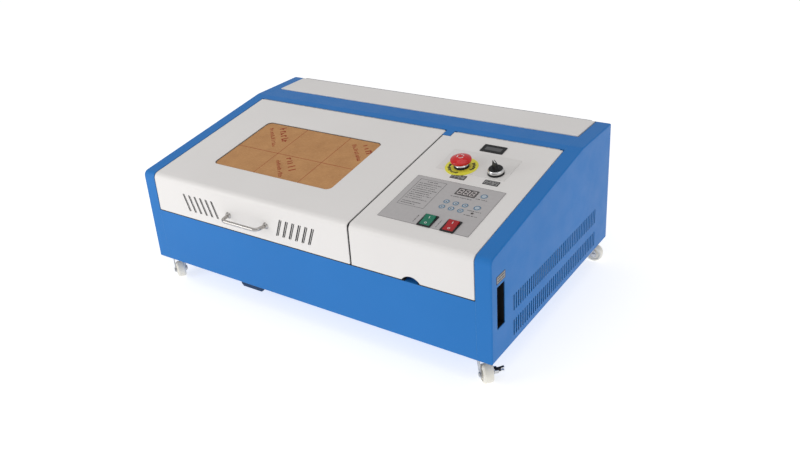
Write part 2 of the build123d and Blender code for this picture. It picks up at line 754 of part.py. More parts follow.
with BuildPart() as estop_collar:
    with BuildSketch(SLOPE.offset(RING)):
        with Locations(ESTOP):
            Circle(COLLAR_RADIUS)
    extrude(amount=COLLAR_TOP - RING, taper=8)
    with BuildSketch(SLOPE.offset(RING)):
        with Locations(ESTOP):
            Circle(NECK_RADIUS)
    extrude(amount=NECK_TOP - RING)
    with BuildSketch(SLOPE.offset(-NECK_FOOT)):
        with Locations(ESTOP):
            Circle(PANEL_HOLE_RADIUS - 0.2)
    extrude(amount=NECK_FOOT + RING)
    with BuildSketch(SLOPE.offset(-BLOCK_FOOT)):
        with Locations(ESTOP):
            Rectangle(*BLOCK)
    extrude(amount=BLOCK_FOOT - NECK_FOOT)
    with BuildSketch(SLOPE.offset(-20)):
        with Locations(ESTOP):
            Circle(STEM_RADIUS + RUNNING)
    extrude(amount=40, mode=Mode.SUBTRACT)
save(estop_collar.part, "estop_collar")

STEM_FOOT = -14.0
STEM_TOP = 15.0
STEM_PIN = 4.0            # radius of the pin that the head turns on
with BuildPart() as estop_stem:
    with BuildSketch(SLOPE.offset(STEM_FOOT)):
        with Locations(ESTOP):
            Circle(STEM_RADIUS)
    extrude(amount=STEM_TOP - STEM_FOOT)
    with BuildSketch(SLOPE.offset(STEM_TOP)):
        with Locations(ESTOP):
            Circle(STEM_PIN)
    extrude(amount=4)
save(estop_stem.part, "estop_stem")

HEAD_RIM = (19.3, 17.6)
HEAD_HEIGHT = 23.0
HEAD_FOOT = 10.4
HEAD_HOLLOW = (14.2, 15.3)  # radius and roof of the hollow that passes over the neck
DOME_RISE = HEAD_HEIGHT - HEAD_RIM[1]
DOME_RADIUS = (HEAD_RIM[0] ** 2 + DOME_RISE**2) / (2 * DOME_RISE)
DOME_HALF_TURN = asin(HEAD_RIM[0] / DOME_RADIUS) / 2
DOME_MIDDLE = (
    DOME_RADIUS * sin(DOME_HALF_TURN),
    HEAD_HEIGHT - DOME_RADIUS * (1 - cos(DOME_HALF_TURN)),
)
with BuildPart() as mushroom:
    # half profile: x is the radius, y the height above the panel
    with BuildSketch(Plane.XZ):
        with BuildLine():
            Polyline(
                (0, HEAD_HOLLOW[1]),
                HEAD_HOLLOW,
                (HEAD_HOLLOW[0], HEAD_FOOT),
                (16.5, HEAD_FOOT),
                (18.8, HEAD_FOOT + 1.6),
            )
            ThreePointArc((18.8, HEAD_FOOT + 1.6), (20.0, 14.9), HEAD_RIM)
            ThreePointArc(HEAD_RIM, DOME_MIDDLE, (0, HEAD_HEIGHT))
            Line((0, HEAD_HEIGHT), (0, HEAD_HOLLOW[1]))
        make_face()
    revolve(axis=Axis.Z)
    with BuildSketch(Plane.XY.offset(STEM_TOP)):
        Circle(STEM_PIN + RUNNING)
    extrude(amount=4.5, mode=Mode.SUBTRACT)
with BuildPart() as estop_button:
    with Locations(SLOPE.location * Location((*ESTOP, 0))):
        add(mushroom.part)
save(estop_button.part, "estop_button")

# Selector switch
KNOB_RADIUS = 12.4
KNOB_FOOT = 6.0
KNOB_DISC = 11.6
KNOB_TOP = 22.5
with BuildPart() as selector_body:
    with BuildSketch(SLOPE):
        with Locations(SELECTOR):
            Circle(SELECTOR_RADIUS)
    extrude(amount=SELECTOR_FOOT, taper=6)
    ring_radius, ring_top = SELECTOR_RING
    with BuildSketch(SLOPE.offset(SELECTOR_FOOT)):
        with Locations(SELECTOR):
            Circle(ring_radius)
    extrude(amount=ring_top - SELECTOR_FOOT, taper=4)
    # well that the knob sits in
    with BuildSketch(SLOPE.offset(KNOB_FOOT)):
        with Locations(SELECTOR):
            Circle(KNOB_RADIUS + 0.3)
    extrude(amount=ring_top, mode=Mode.SUBTRACT)
    with BuildSketch(SLOPE.offset(-NECK_FOOT)):
        with Locations(SELECTOR):
            Circle(PANEL_HOLE_RADIUS - 0.2)
    extrude(amount=NECK_FOOT)
    with BuildSketch(SLOPE.offset(-BLOCK_FOOT)):
        with Locations(SELECTOR):
            Rectangle(*BLOCK)
    extrude(amount=BLOCK_FOOT - NECK_FOOT)
    with BuildSketch(SLOPE.offset(-15)):
        with Locations(SELECTOR):
            Circle(STEM_RADIUS + RUNNING)
    extrude(amount=40, mode=Mode.SUBTRACT)
save(selector_body.part, "selector_body")

SELECTOR_REST = 45.0
with BuildPart() as selector_knob:
    with BuildSketch(SLOPE.offset(-10)):
        with Locations(SELECTOR):
            Circle(STEM_RADIUS)
    extrude(amount=10 + KNOB_FOOT + 1)
    with BuildSketch(SLOPE.offset(KNOB_FOOT + 0.3)):
        with Locations(SELECTOR):
            Circle(KNOB_RADIUS)
    extrude(amount=KNOB_DISC - KNOB_FOOT - 0.3)
    with BuildSketch(SLOPE.offset(KNOB_DISC - 0.5)):
        with Locations(Location((*SELECTOR, 0), (0, 0, SELECTOR_REST))):
            SlotOverall(24, 8, rotation=90)
    extrude(amount=KNOB_TOP - KNOB_DISC + 0.5, taper=7)
save(selector_knob.part, "selector_knob")

with BuildPart() as panel_meter:
    with BuildSketch(SLOPE.offset(-20)):
        with Locations(METER):
            Rectangle(METER_HOLE[0] - 0.6, METER_HOLE[1] - 0.6)
    extrude(amount=20)
    with BuildSketch(SLOPE):
        with Locations(METER):
            RectangleRounded(*METER_BEZEL, 1.5)
    extrude(amount=METER_HEIGHT, taper=10)
    with BuildSketch(SLOPE.offset(METER_HEIGHT - 0.8)):
        with Locations(METER):
            Rectangle(*METER_SCREEN)
    extrude(amount=METER_HEIGHT, mode=Mode.SUBTRACT)
save(panel_meter.part, "panel_meter")


# ======================================================================================
# Scrap tray under the base
# ======================================================================================
with BuildPart() as scrap_tray:
    half = TRAY_WIDTH / 2
    box_between((TRAY_X - half, TRAY_Y[0], TRAY_FLOOR), (TRAY_X + half, TRAY_Y[1], TRAY_TOP))
    box_between(
        (TRAY_X - half + SHEET, TRAY_Y[0] + SHEET, TRAY_FLOOR + SHEET),
        (TRAY_X + half - SHEET, TRAY_Y[1] - SHEET, TRAY_TOP + 1),
        mode=Mode.SUBTRACT,
    )
    with BuildSketch(Plane.XZ.offset(-TRAY_Y[0] - SHEET)):
        with Locations((TRAY_X, (TAB_FOOT + TRAY_TOP) / 2)):
            Rectangle(TAB_WIDTH, TRAY_TOP - TAB_FOOT)
        fillet(vertices().group_by(Axis.Y)[0], radius=5)
    extrude(amount=SHEET)
save(scrap_tray.part, "scrap_tray")


# ======================================================================================
# Motion system in the work area
# ======================================================================================
with BuildPart() as rail_posts:
    for x in RAIL_X:
        for y in (RAIL_SPAN[0], RAIL_SPAN[1] - 8):
            box_between((x - 9, y, BOTTOM + SHEET), (x + 9, y + 8, RAIL_Z + 9))
        with BuildSketch(Plane.XZ.offset(-RAIL_SPAN[1] - 1)):
            with Locations((x, RAIL_Z)):
                Circle(RAIL_RADIUS + 0.02)
        extrude(amount=RAIL_SPAN[1] - RAIL_SPAN[0] + 2, mode=Mode.SUBTRACT)
with BuildPart() as guide_rails:
    add(rail_posts.part)
    for x in RAIL_X:
        with BuildSketch(Plane.XZ.offset(-RAIL_SPAN[1])):
            with Locations((x, RAIL_Z)):
                Circle(RAIL_RADIUS)
        extrude(amount=RAIL_SPAN[1] - RAIL_SPAN[0])
save(guide_rails.part, "guide_rails")

with BuildPart() as gantry_beam:
    for x in RAIL_X:
        box_between((x - 14, GANTRY_Y - 20, RAIL_Z - 10), (x + 14, GANTRY_Y + 20, BEAM_Z[0]))
    box_between(
        (RAIL_X[0] - 14, GANTRY_Y - BEAM_DEPTH / 2, BEAM_Z[0]),
        (RAIL_X[1] + 14, GANTRY_Y + BEAM_DEPTH / 2, BEAM_Z[1]),
    )
    for x in RAIL_X:
        with BuildSketch(Plane.XZ.offset(-GANTRY_Y - 25)):
            with Locations((x, RAIL_Z)):
                Circle(RAIL_RADIUS + RUNNING)
        extrude(amount=50, mode=Mode.SUBTRACT)
save(gantry_beam.part, "gantry_beam")

HEAD_HALF = 22.0
HEAD_CLEAR = 0.35
HEAD_PLATE = 4.0
LENS_OFFSET = 15.0
with BuildPart() as laser_head:
    front_of_beam = GANTRY_Y - BEAM_DEPTH / 2 - HEAD_CLEAR
    back_of_beam = GANTRY_Y + BEAM_DEPTH / 2 + HEAD_CLEAR
    head_top = BEAM_Z[1] + HEAD_CLEAR
    head_left = HEAD_X - HEAD_HALF
    head_right = HEAD_X + HEAD_HALF
    # carriage folded over the beam: front plate, top plate, back plate
    front = front_of_beam - HEAD_PLATE
    back = back_of_beam + HEAD_PLATE
    top = head_top + HEAD_PLATE
    box_between((head_left, front, BEAM_Z[0] - 8), (head_right, front_of_beam, top))
    box_between((head_left, front_of_beam, head_top), (head_right, back, top))
    box_between((head_left, back_of_beam, BEAM_Z[0] + 2), (head_right, back, head_top))
    # lens tube with a tapered nozzle
    with BuildSketch(Plane.XY.offset(top)):
        with Locations((HEAD_X, front_of_beam - LENS_OFFSET)):
            Circle(13)
    extrude(amount=-48)
    with BuildSketch(Plane.XY.offset(head_top - 44)):
        with Locations((HEAD_X, front_of_beam - LENS_OFFSET)):
            Circle(10)
    extrude(amount=-12, taper=25)
    with BuildSketch(Plane.XY.offset(BEAM_Z[0])):
        with Locations((HEAD_X, front_of_beam - 8)):
            Rectangle(20, 12)
    extrude(amount=16)
save(laser_head.part, "laser_head")

with BuildPart() as work_bed:
    with BuildSketch(Plane.XY.offset(BED_TOP - 3)):
        with Locations(BED):
            RectangleRounded(*BED_SIZE, 4)
            with GridLocations(20, 20, 15, 10):
                Circle(3, mode=Mode.SUBTRACT)
    extrude(amount=3)
    with BuildSketch(Plane.XY.offset(BOTTOM + SHEET)):
        with Locations(BED):
            with GridLocations(BED_SIZE[0] - 16, BED_SIZE[1] - 16, 2, 2):
                Circle(5)
    extrude(amount=BED_TOP - 3 - BOTTOM - SHEET)
save(work_bed.part, "work_bed")


# ======================================================================================
# Tube bay, exhaust and electronics
# ======================================================================================
TUBE_AXIS = Plane(origin=(TUBE_SPAN[0], TUBE_Y, BEAM_HEIGHT), x_dir=(0, 1, 0), z_dir=(1, 0, 0))
TUBE_LENGTH = TUBE_SPAN[1] - TUBE_SPAN[0]
with BuildPart() as laser_tube:
    with BuildSketch(TUBE_AXIS):
        Circle(9)
    extrude(amount=TUBE_LENGTH)
    with BuildSketch(TUBE_AXIS.offset(18)):
        Circle(TUBE_RADIUS)
    extrude(amount=TUBE_LENGTH - 36)
    shoulders = edges().filter_by(GeomType.CIRCLE).sort_by(SortBy.RADIUS)[-2:]
    fillet(shoulders, radius=7)
save(laser_tube.part, "laser_tube")

with BuildPart() as tube_clamps:
    for x in CLAMP_X:
        box_between((x - 10, TUBE_Y - 20, BOTTOM + SHEET), (x + 10, TUBE_Y + 20, BEAM_HEIGHT))
        with BuildSketch(TUBE_AXIS.offset(x - 10 - TUBE_SPAN[0])):
            Circle(TUBE_RADIUS + 4)
        extrude(amount=20)
    with BuildSketch(TUBE_AXIS):
        Circle(TUBE_RADIUS + 0.3)
    extrude(amount=TUBE_LENGTH, mode=Mode.SUBTRACT)
save(tube_clamps.part, "tube_clamps")

DUCT_AXIS = Plane(
    origin=(EXHAUST_X, PARTITION_Y + SHEET, EXHAUST_Z), x_dir=(1, 0, 0), z_dir=(0, 1, 0)
)
DUCT_LENGTH = REAR + EXHAUST_REACH - PARTITION_Y - SHEET
DUCT_GROOVE = 0.5
DUCT_INSIDE = WALL_INSIDE - PARTITION_Y - SHEET
MOTOR_START = FAN_Y + 12 - PARTITION_Y - SHEET
MOTOR_RADIUS = 15.0
SHAFT_RADIUS = 2.0
with BuildPart() as exhaust_duct:
    with BuildSketch(DUCT_AXIS):
        Circle(EXHAUST_RADIUS)
    extrude(amount=DUCT_LENGTH)
    with BuildSketch(DUCT_AXIS):
        Circle(EXHAUST_RADIUS + SHEET)
    extrude(amount=DUCT_INSIDE)
    with BuildSketch(DUCT_AXIS):
        Circle(EXHAUST_RADIUS - SHEET)
    extrude(amount=DUCT_LENGTH, mode=Mode.SUBTRACT)
    # groove where the rear panel surrounds the pipe
    with BuildSketch(DUCT_AXIS.offset(DUCT_INSIDE)):
        Circle(EXHAUST_RADIUS + 1)
        Circle(EXHAUST_RADIUS - DUCT_GROOVE, mode=Mode.SUBTRACT)
    extrude(amount=SHEET + DUCT_GROOVE, mode=Mode.SUBTRACT)
    # fan motor held on three arms
    with BuildSketch(DUCT_AXIS.offset(MOTOR_START)):
        Circle(MOTOR_RADIUS)
        with PolarLocations(EXHAUST_RADIUS / 2, 3):
            Rectangle(EXHAUST_RADIUS - 1, 6)
    extrude(amount=3)
    with BuildSketch(DUCT_AXIS.offset(MOTOR_START)):
        Circle(MOTOR_RADIUS)
    extrude(amount=20)
    with BuildSketch(DUCT_AXIS.offset(MOTOR_START)):
        Circle(SHAFT_RADIUS)
    extrude(amount=-12)
save(exhaust_duct.part, "exhaust_duct")

BLADES = 7
BLADE_TILT = 35.0
with BuildPart() as fan_rotor:
    with BuildSketch(DUCT_AXIS.offset(FAN_Y - 9 - PARTITION_Y - SHEET)):
        Circle(14)
    extrude(amount=18)
    for i in range(BLADES):
        turn = radians(360 * i / BLADES)
        tilt = radians(BLADE_TILT)
        out = Vector(cos(turn), 0, sin(turn))
        chord = Vector(-sin(turn) * sin(tilt), cos(tilt), cos(turn) * sin(tilt))
        root = Vector(EXHAUST_X, FAN_Y, EXHAUST_Z) + out * 12
        with BuildSketch(Plane(origin=root, x_dir=chord, z_dir=out)):
            Rectangle(18, 2)
        extrude(amount=31)
    with BuildSketch(DUCT_AXIS):
        Circle(SHAFT_RADIUS + RUNNING)
    extrude(amount=80, mode=Mode.SUBTRACT)
save(fan_rotor.part, "fan_rotor")

SUPPLY_X = (205.0, 355.0)
SUPPLY_Y = (-20.0, 130.0)
SUPPLY_TOP = BOTTOM + 70
SUPPLY_CENTRE = (sum(SUPPLY_X) / 2, sum(SUPPLY_Y) / 2)
with BuildPart() as power_supply:
    box_between((SUPPLY_X[0], SUPPLY_Y[0], BOTTOM + SHEET), (SUPPLY_X[1], SUPPLY_Y[1], SUPPLY_TOP))
    # cooling slots in the lid
    with BuildSketch(Plane.XY.offset(SUPPLY_TOP)):
        with Locations(SUPPLY_CENTRE):
            with GridLocations(10, 10, 10, 1):
                SlotOverall(70, 4, rotation=90)
    extrude(amount=-3, mode=Mode.SUBTRACT)
    box_between(
        (SUPPLY_X[0] + SHEET, SUPPLY_Y[0] + SHEET, BOTTOM + SHEET - 1),
        (SUPPLY_X[1] - SHEET, SUPPLY_Y[1] - SHEET, SUPPLY_TOP - SHEET),
        mode=Mode.SUBTRACT,
    )
save(power_supply.part, "power_supply")

BOARD = (245.0, -130.0)
BOARD_SIZE = (150.0, 110.0)
BOARD_FOOT = BOTTOM + 12
SPACERS = (136.0, 96.0)
# offset of the centre, length, width and height of each block on the board
COMPONENTS = ((-45, 0, 30, 30, 6), (10, 20, 24, 12, 9), (45, -25, 18, 40, 14))
with BuildPart() as controller_board:
    with BuildSketch(Plane.XY.offset(BOARD_FOOT)):
        with Locations(BOARD):
            RectangleRounded(*BOARD_SIZE, 3)
    extrude(amount=1.6)
    with BuildSketch(Plane.XY.offset(BOTTOM + SHEET)):
        with Locations(BOARD):
            with GridLocations(*SPACERS, 2, 2):
                Circle(3)
    extrude(amount=BOARD_FOOT - BOTTOM - SHEET)
    for dx, dy, long, wide, tall in COMPONENTS:
        with BuildSketch(Plane.XY.offset(BOARD_FOOT + 1)):
            with Locations((BOARD[0] + dx, BOARD[1] + dy)):
                Rectangle(long, wide)
        extrude(amount=tall)
save(controller_board.part, "controller_board")

PORT_WALL = 1.5
PORT_DEPTH = 14.0
with BuildPart() as port_recess:
    inside = SIDE - SHEET
    box_between(
        (inside - PORT_DEPTH, PORT_Y[0] - PORT_WALL, PORT_Z[0] - PORT_WALL),
        (inside, PORT_Y[1] + PORT_WALL, PORT_Z[1] + PORT_WALL),
    )
    box_between(
        (inside - PORT_DEPTH + PORT_WALL, PORT_Y[0], PORT_Z[0]),
        (inside + 1, PORT_Y[1], PORT_Z[1]),
        mode=Mode.SUBTRACT,
    )
    # two square sockets, one above the other
    middle = (PORT_Y[0] + PORT_Y[1]) / 2
    for z in (PORT_Z[0] + 20, PORT_Z[1] - 20):
        floor = inside - PORT_DEPTH
        box_between((floor + 1, middle - 8, z - 8), (floor + 5, middle + 8, z + 8))
        box_between((floor + 3, middle - 6, z - 6), (floor + 6, middle + 6, z + 6), mode=Mode.SUBTRACT)
save(port_recess.part, "port_recess")

INLET_PLACE = (-INLET[0], INLET[1])
INLET_FLANGE = 2.5
with BuildPart() as power_inlet:
    with BuildSketch(REAR_FACE):
        with Locations(INLET_PLACE):
            RectangleRounded(34, 58, 3)
    extrude(amount=INLET_FLANGE)
    with BuildSketch(REAR_FACE):
        with Locations(INLET_PLACE):
            Rectangle(INLET_SIZE[0] - 0.6, INLET_SIZE[1] - 0.6)
    extrude(amount=-24)
    with BuildSketch(REAR_FACE.offset(INLET_FLANGE)):
        with Locations(INLET_PLACE):
            RectangleRounded(18, 25, 3)
    extrude(amount=-16, mode=Mode.SUBTRACT)
    with BuildSketch(REAR_FACE.offset(-14)):
        # three blades, the earth one set aside
        for dx, dz in ((-4, 6), (0, 0), (-4, -6)):
            with Locations((INLET_PLACE[0] + dx, INLET_PLACE[1] + dz)):
                Rectangle(4, 2)
    extrude(amount=10)
save(power_inlet.part, "power_inlet")


# ======================================================================================
# Casters. Each is made once about its swivel axis, trailing along +X, then placed
# ======================================================================================
FORK_TOP = BOTTOM - PLATE - 2.8
RACE_RADIUS = 12.0        # ball race between plate and fork
CASTER_PLATE = 42.0
CASTER_HOLE_PITCH = 32.0
CASTER_HOLE_RADIUS = 2.2
KINGPIN_HEAD = 5.0

with BuildPart() as plate_blank:
    with BuildSketch(Plane.XY.offset(BOTTOM - PLATE)):
        RectangleRounded(CASTER_PLATE, CASTER_PLATE, 4)
        with GridLocations(CASTER_HOLE_PITCH, CASTER_HOLE_PITCH, 2, 2):
            Circle(CASTER_HOLE_RADIUS, mode=Mode.SUBTRACT)
    extrude(amount=PLATE)
    with BuildSketch(Plane.XY.offset(FORK_TOP + 0.3)):
        Circle(RACE_RADIUS)
    extrude(amount=BOTTOM - PLATE - FORK_TOP - 0.3)
    with BuildSketch(Plane.XY.offset(FORK_TOP - 3)):
        Circle(AXLE_RADIUS)
    extrude(amount=5)
    with BuildSketch(Plane.XY.offset(FORK_TOP - 5.5)):
        Circle(KINGPIN_HEAD)
    extrude(amount=3)

with BuildPart() as fork_blank:
    # round top and the two legs that reach down to the axle
    with BuildSketch(Plane.XY.offset(FORK_TOP)):
        Circle(FORK_INSIDE + FORK_SHEET + 0.8)
    extrude(amount=-2.2)
    for side in (-1, 1):
        inner = side * FORK_INSIDE
        start = min(inner, inner + side * FORK_SHEET)
        with BuildSketch(Plane.XZ.offset(-start - FORK_SHEET)):
            with BuildLine():
                Polyline(
                    (-6, FORK_TOP),
                    (8, FORK_TOP),
                    (TRAIL + 6, WHEEL_RADIUS + 3),
                    (TRAIL + 6, WHEEL_RADIUS - 3),
                    (TRAIL, WHEEL_RADIUS - 7),
                    (TRAIL - 6, WHEEL_RADIUS - 3),
                    close=True,
                )
            make_face()
            with Locations((TRAIL, WHEEL_RADIUS)):
                Circle(AXLE_RADIUS, mode=Mode.SUBTRACT)
        extrude(amount=FORK_SHEET)
    with BuildSketch(Plane.XY.offset(FORK_TOP + 1)):
        Circle(AXLE_RADIUS + RUNNING)
    extrude(amount=-5, mode=Mode.SUBTRACT)

AXLE_HEAD_RADIUS = 4.6
AXLE_HEAD = 2.0
with BuildPart() as axle_blank:
    half = FORK_INSIDE + FORK_SHEET
    with BuildSketch(Plane.XZ.offset(-half)):
        with Locations((TRAIL, WHEEL_RADIUS)):
            Circle(AXLE_RADIUS - 0.02)
    extrude(amount=2 * half)
    for start in (-half, half + AXLE_HEAD):
        with BuildSketch(Plane.XZ.offset(start)):
            with Locations((TRAIL, WHEEL_RADIUS)):
                RegularPolygon(AXLE_HEAD_RADIUS, 6)
        extrude(amount=-AXLE_HEAD)

HUB_RECESS = (12.0, 6.0)  # outer and inner radius of the groove round the hub
HUB_DEPTH = 2.0
TREAD_RADIUS = 4.5
with BuildPart() as wheel_blank:
    with BuildSketch(Plane.XZ.offset(-WHEEL_WIDTH / 2)):
        with Locations((TRAIL, WHEEL_RADIUS)):
            Circle(WHEEL_RADIUS)
    extrude(amount=WHEEL_WIDTH)
    tread = edges().filter_by(GeomType.CIRCLE)
    fillet(tread, radius=TREAD_RADIUS)
    for start, direction in ((-WHEEL_WIDTH / 2, 1), (WHEEL_WIDTH / 2, -1)):
        with BuildSketch(Plane.XZ.offset(start)):
            with Locations((TRAIL, WHEEL_RADIUS)):
                Circle(HUB_RECESS[0])
                Circle(HUB_RECESS[1], mode=Mode.SUBTRACT)
        extrude(amount=direction * HUB_DEPTH, mode=Mode.SUBTRACT)
    with BuildSketch(Plane.XZ.offset(-WHEEL_WIDTH)):
        with Locations((TRAIL, WHEEL_RADIUS)):
            Circle(AXLE_RADIUS + RUNNING)
    extrude(amount=2 * WHEEL_WIDTH, mode=Mode.SUBTRACT)

# Side brake: two lugs and a pin on the fork's leg, astride the axle's head, and a lever
# with two prongs that rocks on the pin
BRAKE_PIN = 1.5
BRAKE_HUB = 2.8
BRAKE_REACH = 13.5        # from the pin to the prongs' tips
ARM_WIDTH = 4.6
LUG = 1.2
LUG_GAP = 0.4
HUB_HALF = 5.0            # half the width of the lever's hub
LEG_FACE = FORK_INSIDE + FORK_SHEET
with BuildPart() as lug_blank:
    near = TRAIL - HUB_HALF - LUG_GAP - LUG
    far = TRAIL + HUB_HALF + LUG_GAP
    for x in (near, far):
        with BuildSketch(Plane.YZ.offset(x)):
            with Locations(((LEG_FACE + BRAKE_Y) / 2, BRAKE_Z)):
                Rectangle(BRAKE_Y - LEG_FACE, 2 * BRAKE_HUB)
            with Locations((BRAKE_Y, BRAKE_Z)):
                Circle(BRAKE_HUB)
        extrude(amount=LUG)
    with BuildSketch(Plane.YZ.offset(near)):
        with Locations((BRAKE_Y, BRAKE_Z)):
            Circle(BRAKE_PIN)
    extrude(amount=far + LUG - near)

with BuildPart() as lever_blank:
    with BuildSketch(Plane.YZ.offset(TRAIL - HUB_HALF)):
        with Locations((BRAKE_Y, BRAKE_Z)):
            Circle(BRAKE_HUB)
    extrude(amount=2 * HUB_HALF)
    with BuildSketch(Plane.YZ.offset(TRAIL - ARM_WIDTH / 2)):
        with Locations((BRAKE_Y, BRAKE_Z)):
            Polygon(
                (0, BRAKE_HUB),
                (5, 3.2),
                (BRAKE_REACH, 4.2),
                (BRAKE_REACH, 3.1),
                (6, 1.0),
                (6, -0.6),
                (BRAKE_REACH, -2.2),
                (BRAKE_REACH, -3.3),
                (5, -3.0),
                (0, -BRAKE_HUB),
                align=None,
            )
    extrude(amount=ARM_WIDTH)
    with BuildSketch(Plane.YZ):
        with Locations((BRAKE_Y, BRAKE_Z)):
            Circle(BRAKE_PIN + RUNNING)
    extrude(amount=2 * TRAIL, mode=Mode.SUBTRACT)


def caster_place(corner):
    """Location of one caster's swivel axis and its heading."""
    x, y, heading = CASTERS[corner]
    return Location((x, y, 0), (0, 0, heading))


with BuildPart() as caster_plates:
    for x, y, _ in CASTERS.values():
        with Locations((x, y, 0)):
            add(plate_blank.part)
save(caster_plates.part, "caster_plates")

for corner in CASTERS:
    with BuildPart() as fork:
        with Locations(caster_place(corner)):
            add(fork_blank.part)
            if corner in BRAKED:
                add(lug_blank.part)
    with BuildPart() as axle:
        with Locations(caster_place(corner)):
            add(axle_blank.part)
    save(Compound(children=[*fork.part.solids(), *axle.part.solids()]), f"{corner}_caster_fork")
    with BuildPart() as wheel:
        with Locations(caster_place(corner)):
            add(wheel_blank.part)
    save(wheel.part, f"{corner}_caster_wheel")

for corner in BRAKED:
    with BuildPart() as lever:
        with Locations(caster_place(corner)):
            add(lever_blank.part)
    save(lever.part, f"{corner}_caster_brake")
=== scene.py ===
"""Looks of the desktop laser engraver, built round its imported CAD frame.

Metres, in the CAD's own frame: origin on the floor below the middle, +X right, +Y back, +Z up.
Places on the sloping control panel are given as (x, s, h): x across, s up the slope from the
shoulder, h above the sheet, in millimetres, as on a drawing of the panel.
"""

import json
import math
import random

import bmesh
import bpy
from mathutils import Matrix, Vector


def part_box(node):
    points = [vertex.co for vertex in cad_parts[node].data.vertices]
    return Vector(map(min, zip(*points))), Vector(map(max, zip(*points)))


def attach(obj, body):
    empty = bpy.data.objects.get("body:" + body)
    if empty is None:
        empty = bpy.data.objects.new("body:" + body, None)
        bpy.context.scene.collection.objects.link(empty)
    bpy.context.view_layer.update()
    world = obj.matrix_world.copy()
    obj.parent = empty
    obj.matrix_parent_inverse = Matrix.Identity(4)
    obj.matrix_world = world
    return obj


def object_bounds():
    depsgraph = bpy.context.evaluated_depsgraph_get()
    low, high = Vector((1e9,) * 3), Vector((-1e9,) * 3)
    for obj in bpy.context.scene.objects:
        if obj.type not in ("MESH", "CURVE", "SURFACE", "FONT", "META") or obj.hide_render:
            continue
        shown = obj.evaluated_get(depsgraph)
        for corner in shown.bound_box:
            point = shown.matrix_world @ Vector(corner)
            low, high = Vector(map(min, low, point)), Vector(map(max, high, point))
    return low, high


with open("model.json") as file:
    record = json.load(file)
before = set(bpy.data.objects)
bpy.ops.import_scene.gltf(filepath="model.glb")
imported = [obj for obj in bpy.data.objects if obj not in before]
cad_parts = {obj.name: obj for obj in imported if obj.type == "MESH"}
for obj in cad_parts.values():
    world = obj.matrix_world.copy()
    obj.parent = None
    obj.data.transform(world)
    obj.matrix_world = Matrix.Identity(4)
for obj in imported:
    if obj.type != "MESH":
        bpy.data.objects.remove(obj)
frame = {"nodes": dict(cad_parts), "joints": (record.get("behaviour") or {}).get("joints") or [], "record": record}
cad_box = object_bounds()

MM = 0.001
JOINTS = {joint["name"]: joint for joint in frame["joints"]}
X_AXIS, Y_AXIS, Z_AXIS = Vector((1, 0, 0)), Vector((0, 1, 0)), Vector((0, 0, 1))


# ---- Places, all taken from the frame ----
PANEL_OUT = -Vector(JOINTS["key_1_press"]["axis"]).normalized()
PANEL_UP = X_AXIS.cross(PANEL_OUT) * -1
HINGE_S = 347.2  # hinge pin's distance up the slope
HINGE_DEPTH = 1.9  # and its depth below the sheet
_pin = Vector(JOINTS["lid_hinge"]["pos_m"])
PANEL_ORIGIN = (
    Vector((0, _pin.y, _pin.z)) + PANEL_OUT * HINGE_DEPTH * MM - PANEL_UP * HINGE_S * MM
)


def placed(x_dir, z_dir, origin):
    """Matrix of a local frame with the given x and z directions, in millimetres."""
    z = z_dir.normalized()
    x = (x_dir - z * x_dir.dot(z)).normalized()
    turn = Matrix((x, z.cross(x), z)).transposed().to_4x4()
    return Matrix.Translation(origin) @ turn @ Matrix.Scale(MM, 4)


def on_panel(x, s, h=0.0, turn=0.0):
    """Local frame on the slope: x to the right, y up the slope, z out of the panel."""
    origin = PANEL_ORIGIN + (X_AXIS * x + PANEL_UP * s + PANEL_OUT * h) * MM
    return placed(X_AXIS, PANEL_OUT, origin) @ Matrix.Rotation(math.radians(turn), 4, "Z")


SHEET = on_panel(0, 0)  # the whole slope, for outlines given in (x, s)


def panel_box(node):
    """(left, foot, right, head, top) of a node that lies on the panel, in millimetres."""
    local = [(v.co - PANEL_ORIGIN) / MM for v in frame["nodes"][node].data.vertices]
    xs = [c.dot(X_AXIS) for c in local]
    ss = [c.dot(PANEL_UP) for c in local]
    hs = [c.dot(PANEL_OUT) for c in local]
    return (min(xs), min(ss), max(xs), max(ss), max(hs))


def panel_place(node):
    """(x, s, top) of the middle of a node that stands on the panel, in millimetres."""
    left, foot, right, head, top = panel_box(node)
    return ((left + right) / 2, (foot + head) / 2, top)


OVERLAY_LEFT, OVERLAY_FOOT, _, _, OVERLAY_TOP = panel_box("control_overlay")
DISPLAY_PLACE = (OVERLAY_LEFT + 114.0, OVERLAY_FOOT + 115.0)
LAMP_PLACE = (OVERLAY_LEFT + 153.0, OVERLAY_FOOT + 62.2)


# ---- Outlines, in millimetres ----
def polar(radius, angle, centre=(0, 0)):
    """Point at a radius and an angle in radians from a centre."""
    return (centre[0] + radius * math.cos(angle), centre[1] + radius * math.sin(angle))


def circle(radius, count=48, centre=(0, 0)):
    """Points of a circle."""
    step = 2 * math.pi / count
    return [polar(radius, i * step, centre) for i in range(count)]


def rounded(width, length, radius, per_corner=6):
    """Points of a rectangle with round corners."""
    points = []
    for quarter, (sx, sy) in enumerate(((1, 1), (-1, 1), (-1, -1), (1, -1))):
        centre = (sx * (width / 2 - radius), sy * (length / 2 - radius))
        for i in range(per_corner + 1):
            points.append(polar(radius, math.pi / 2 * (quarter + i / per_corner), centre))
    return points


def bar(start, end, width):
    """Points of a straight bar between two places, its ends cut square."""
    a, b = Vector(start), Vector(end)
    along = (b - a).normalized()
    across = Vector((-along.y, along.x)) * width / 2
    return [tuple(p) for p in (a - across, b - across, b + across, a + across)]


def moved(points, dx, dy):
    """Outline shifted in its own plane."""
    return [(x + dx, y + dy) for x, y in points]


# ---- Mesh building ----
def ring(bm, points, height, place):
    """Vertices of an outline at one height."""
    return [bm.verts.new(place @ Vector((x, y, height))) for x, y in points]


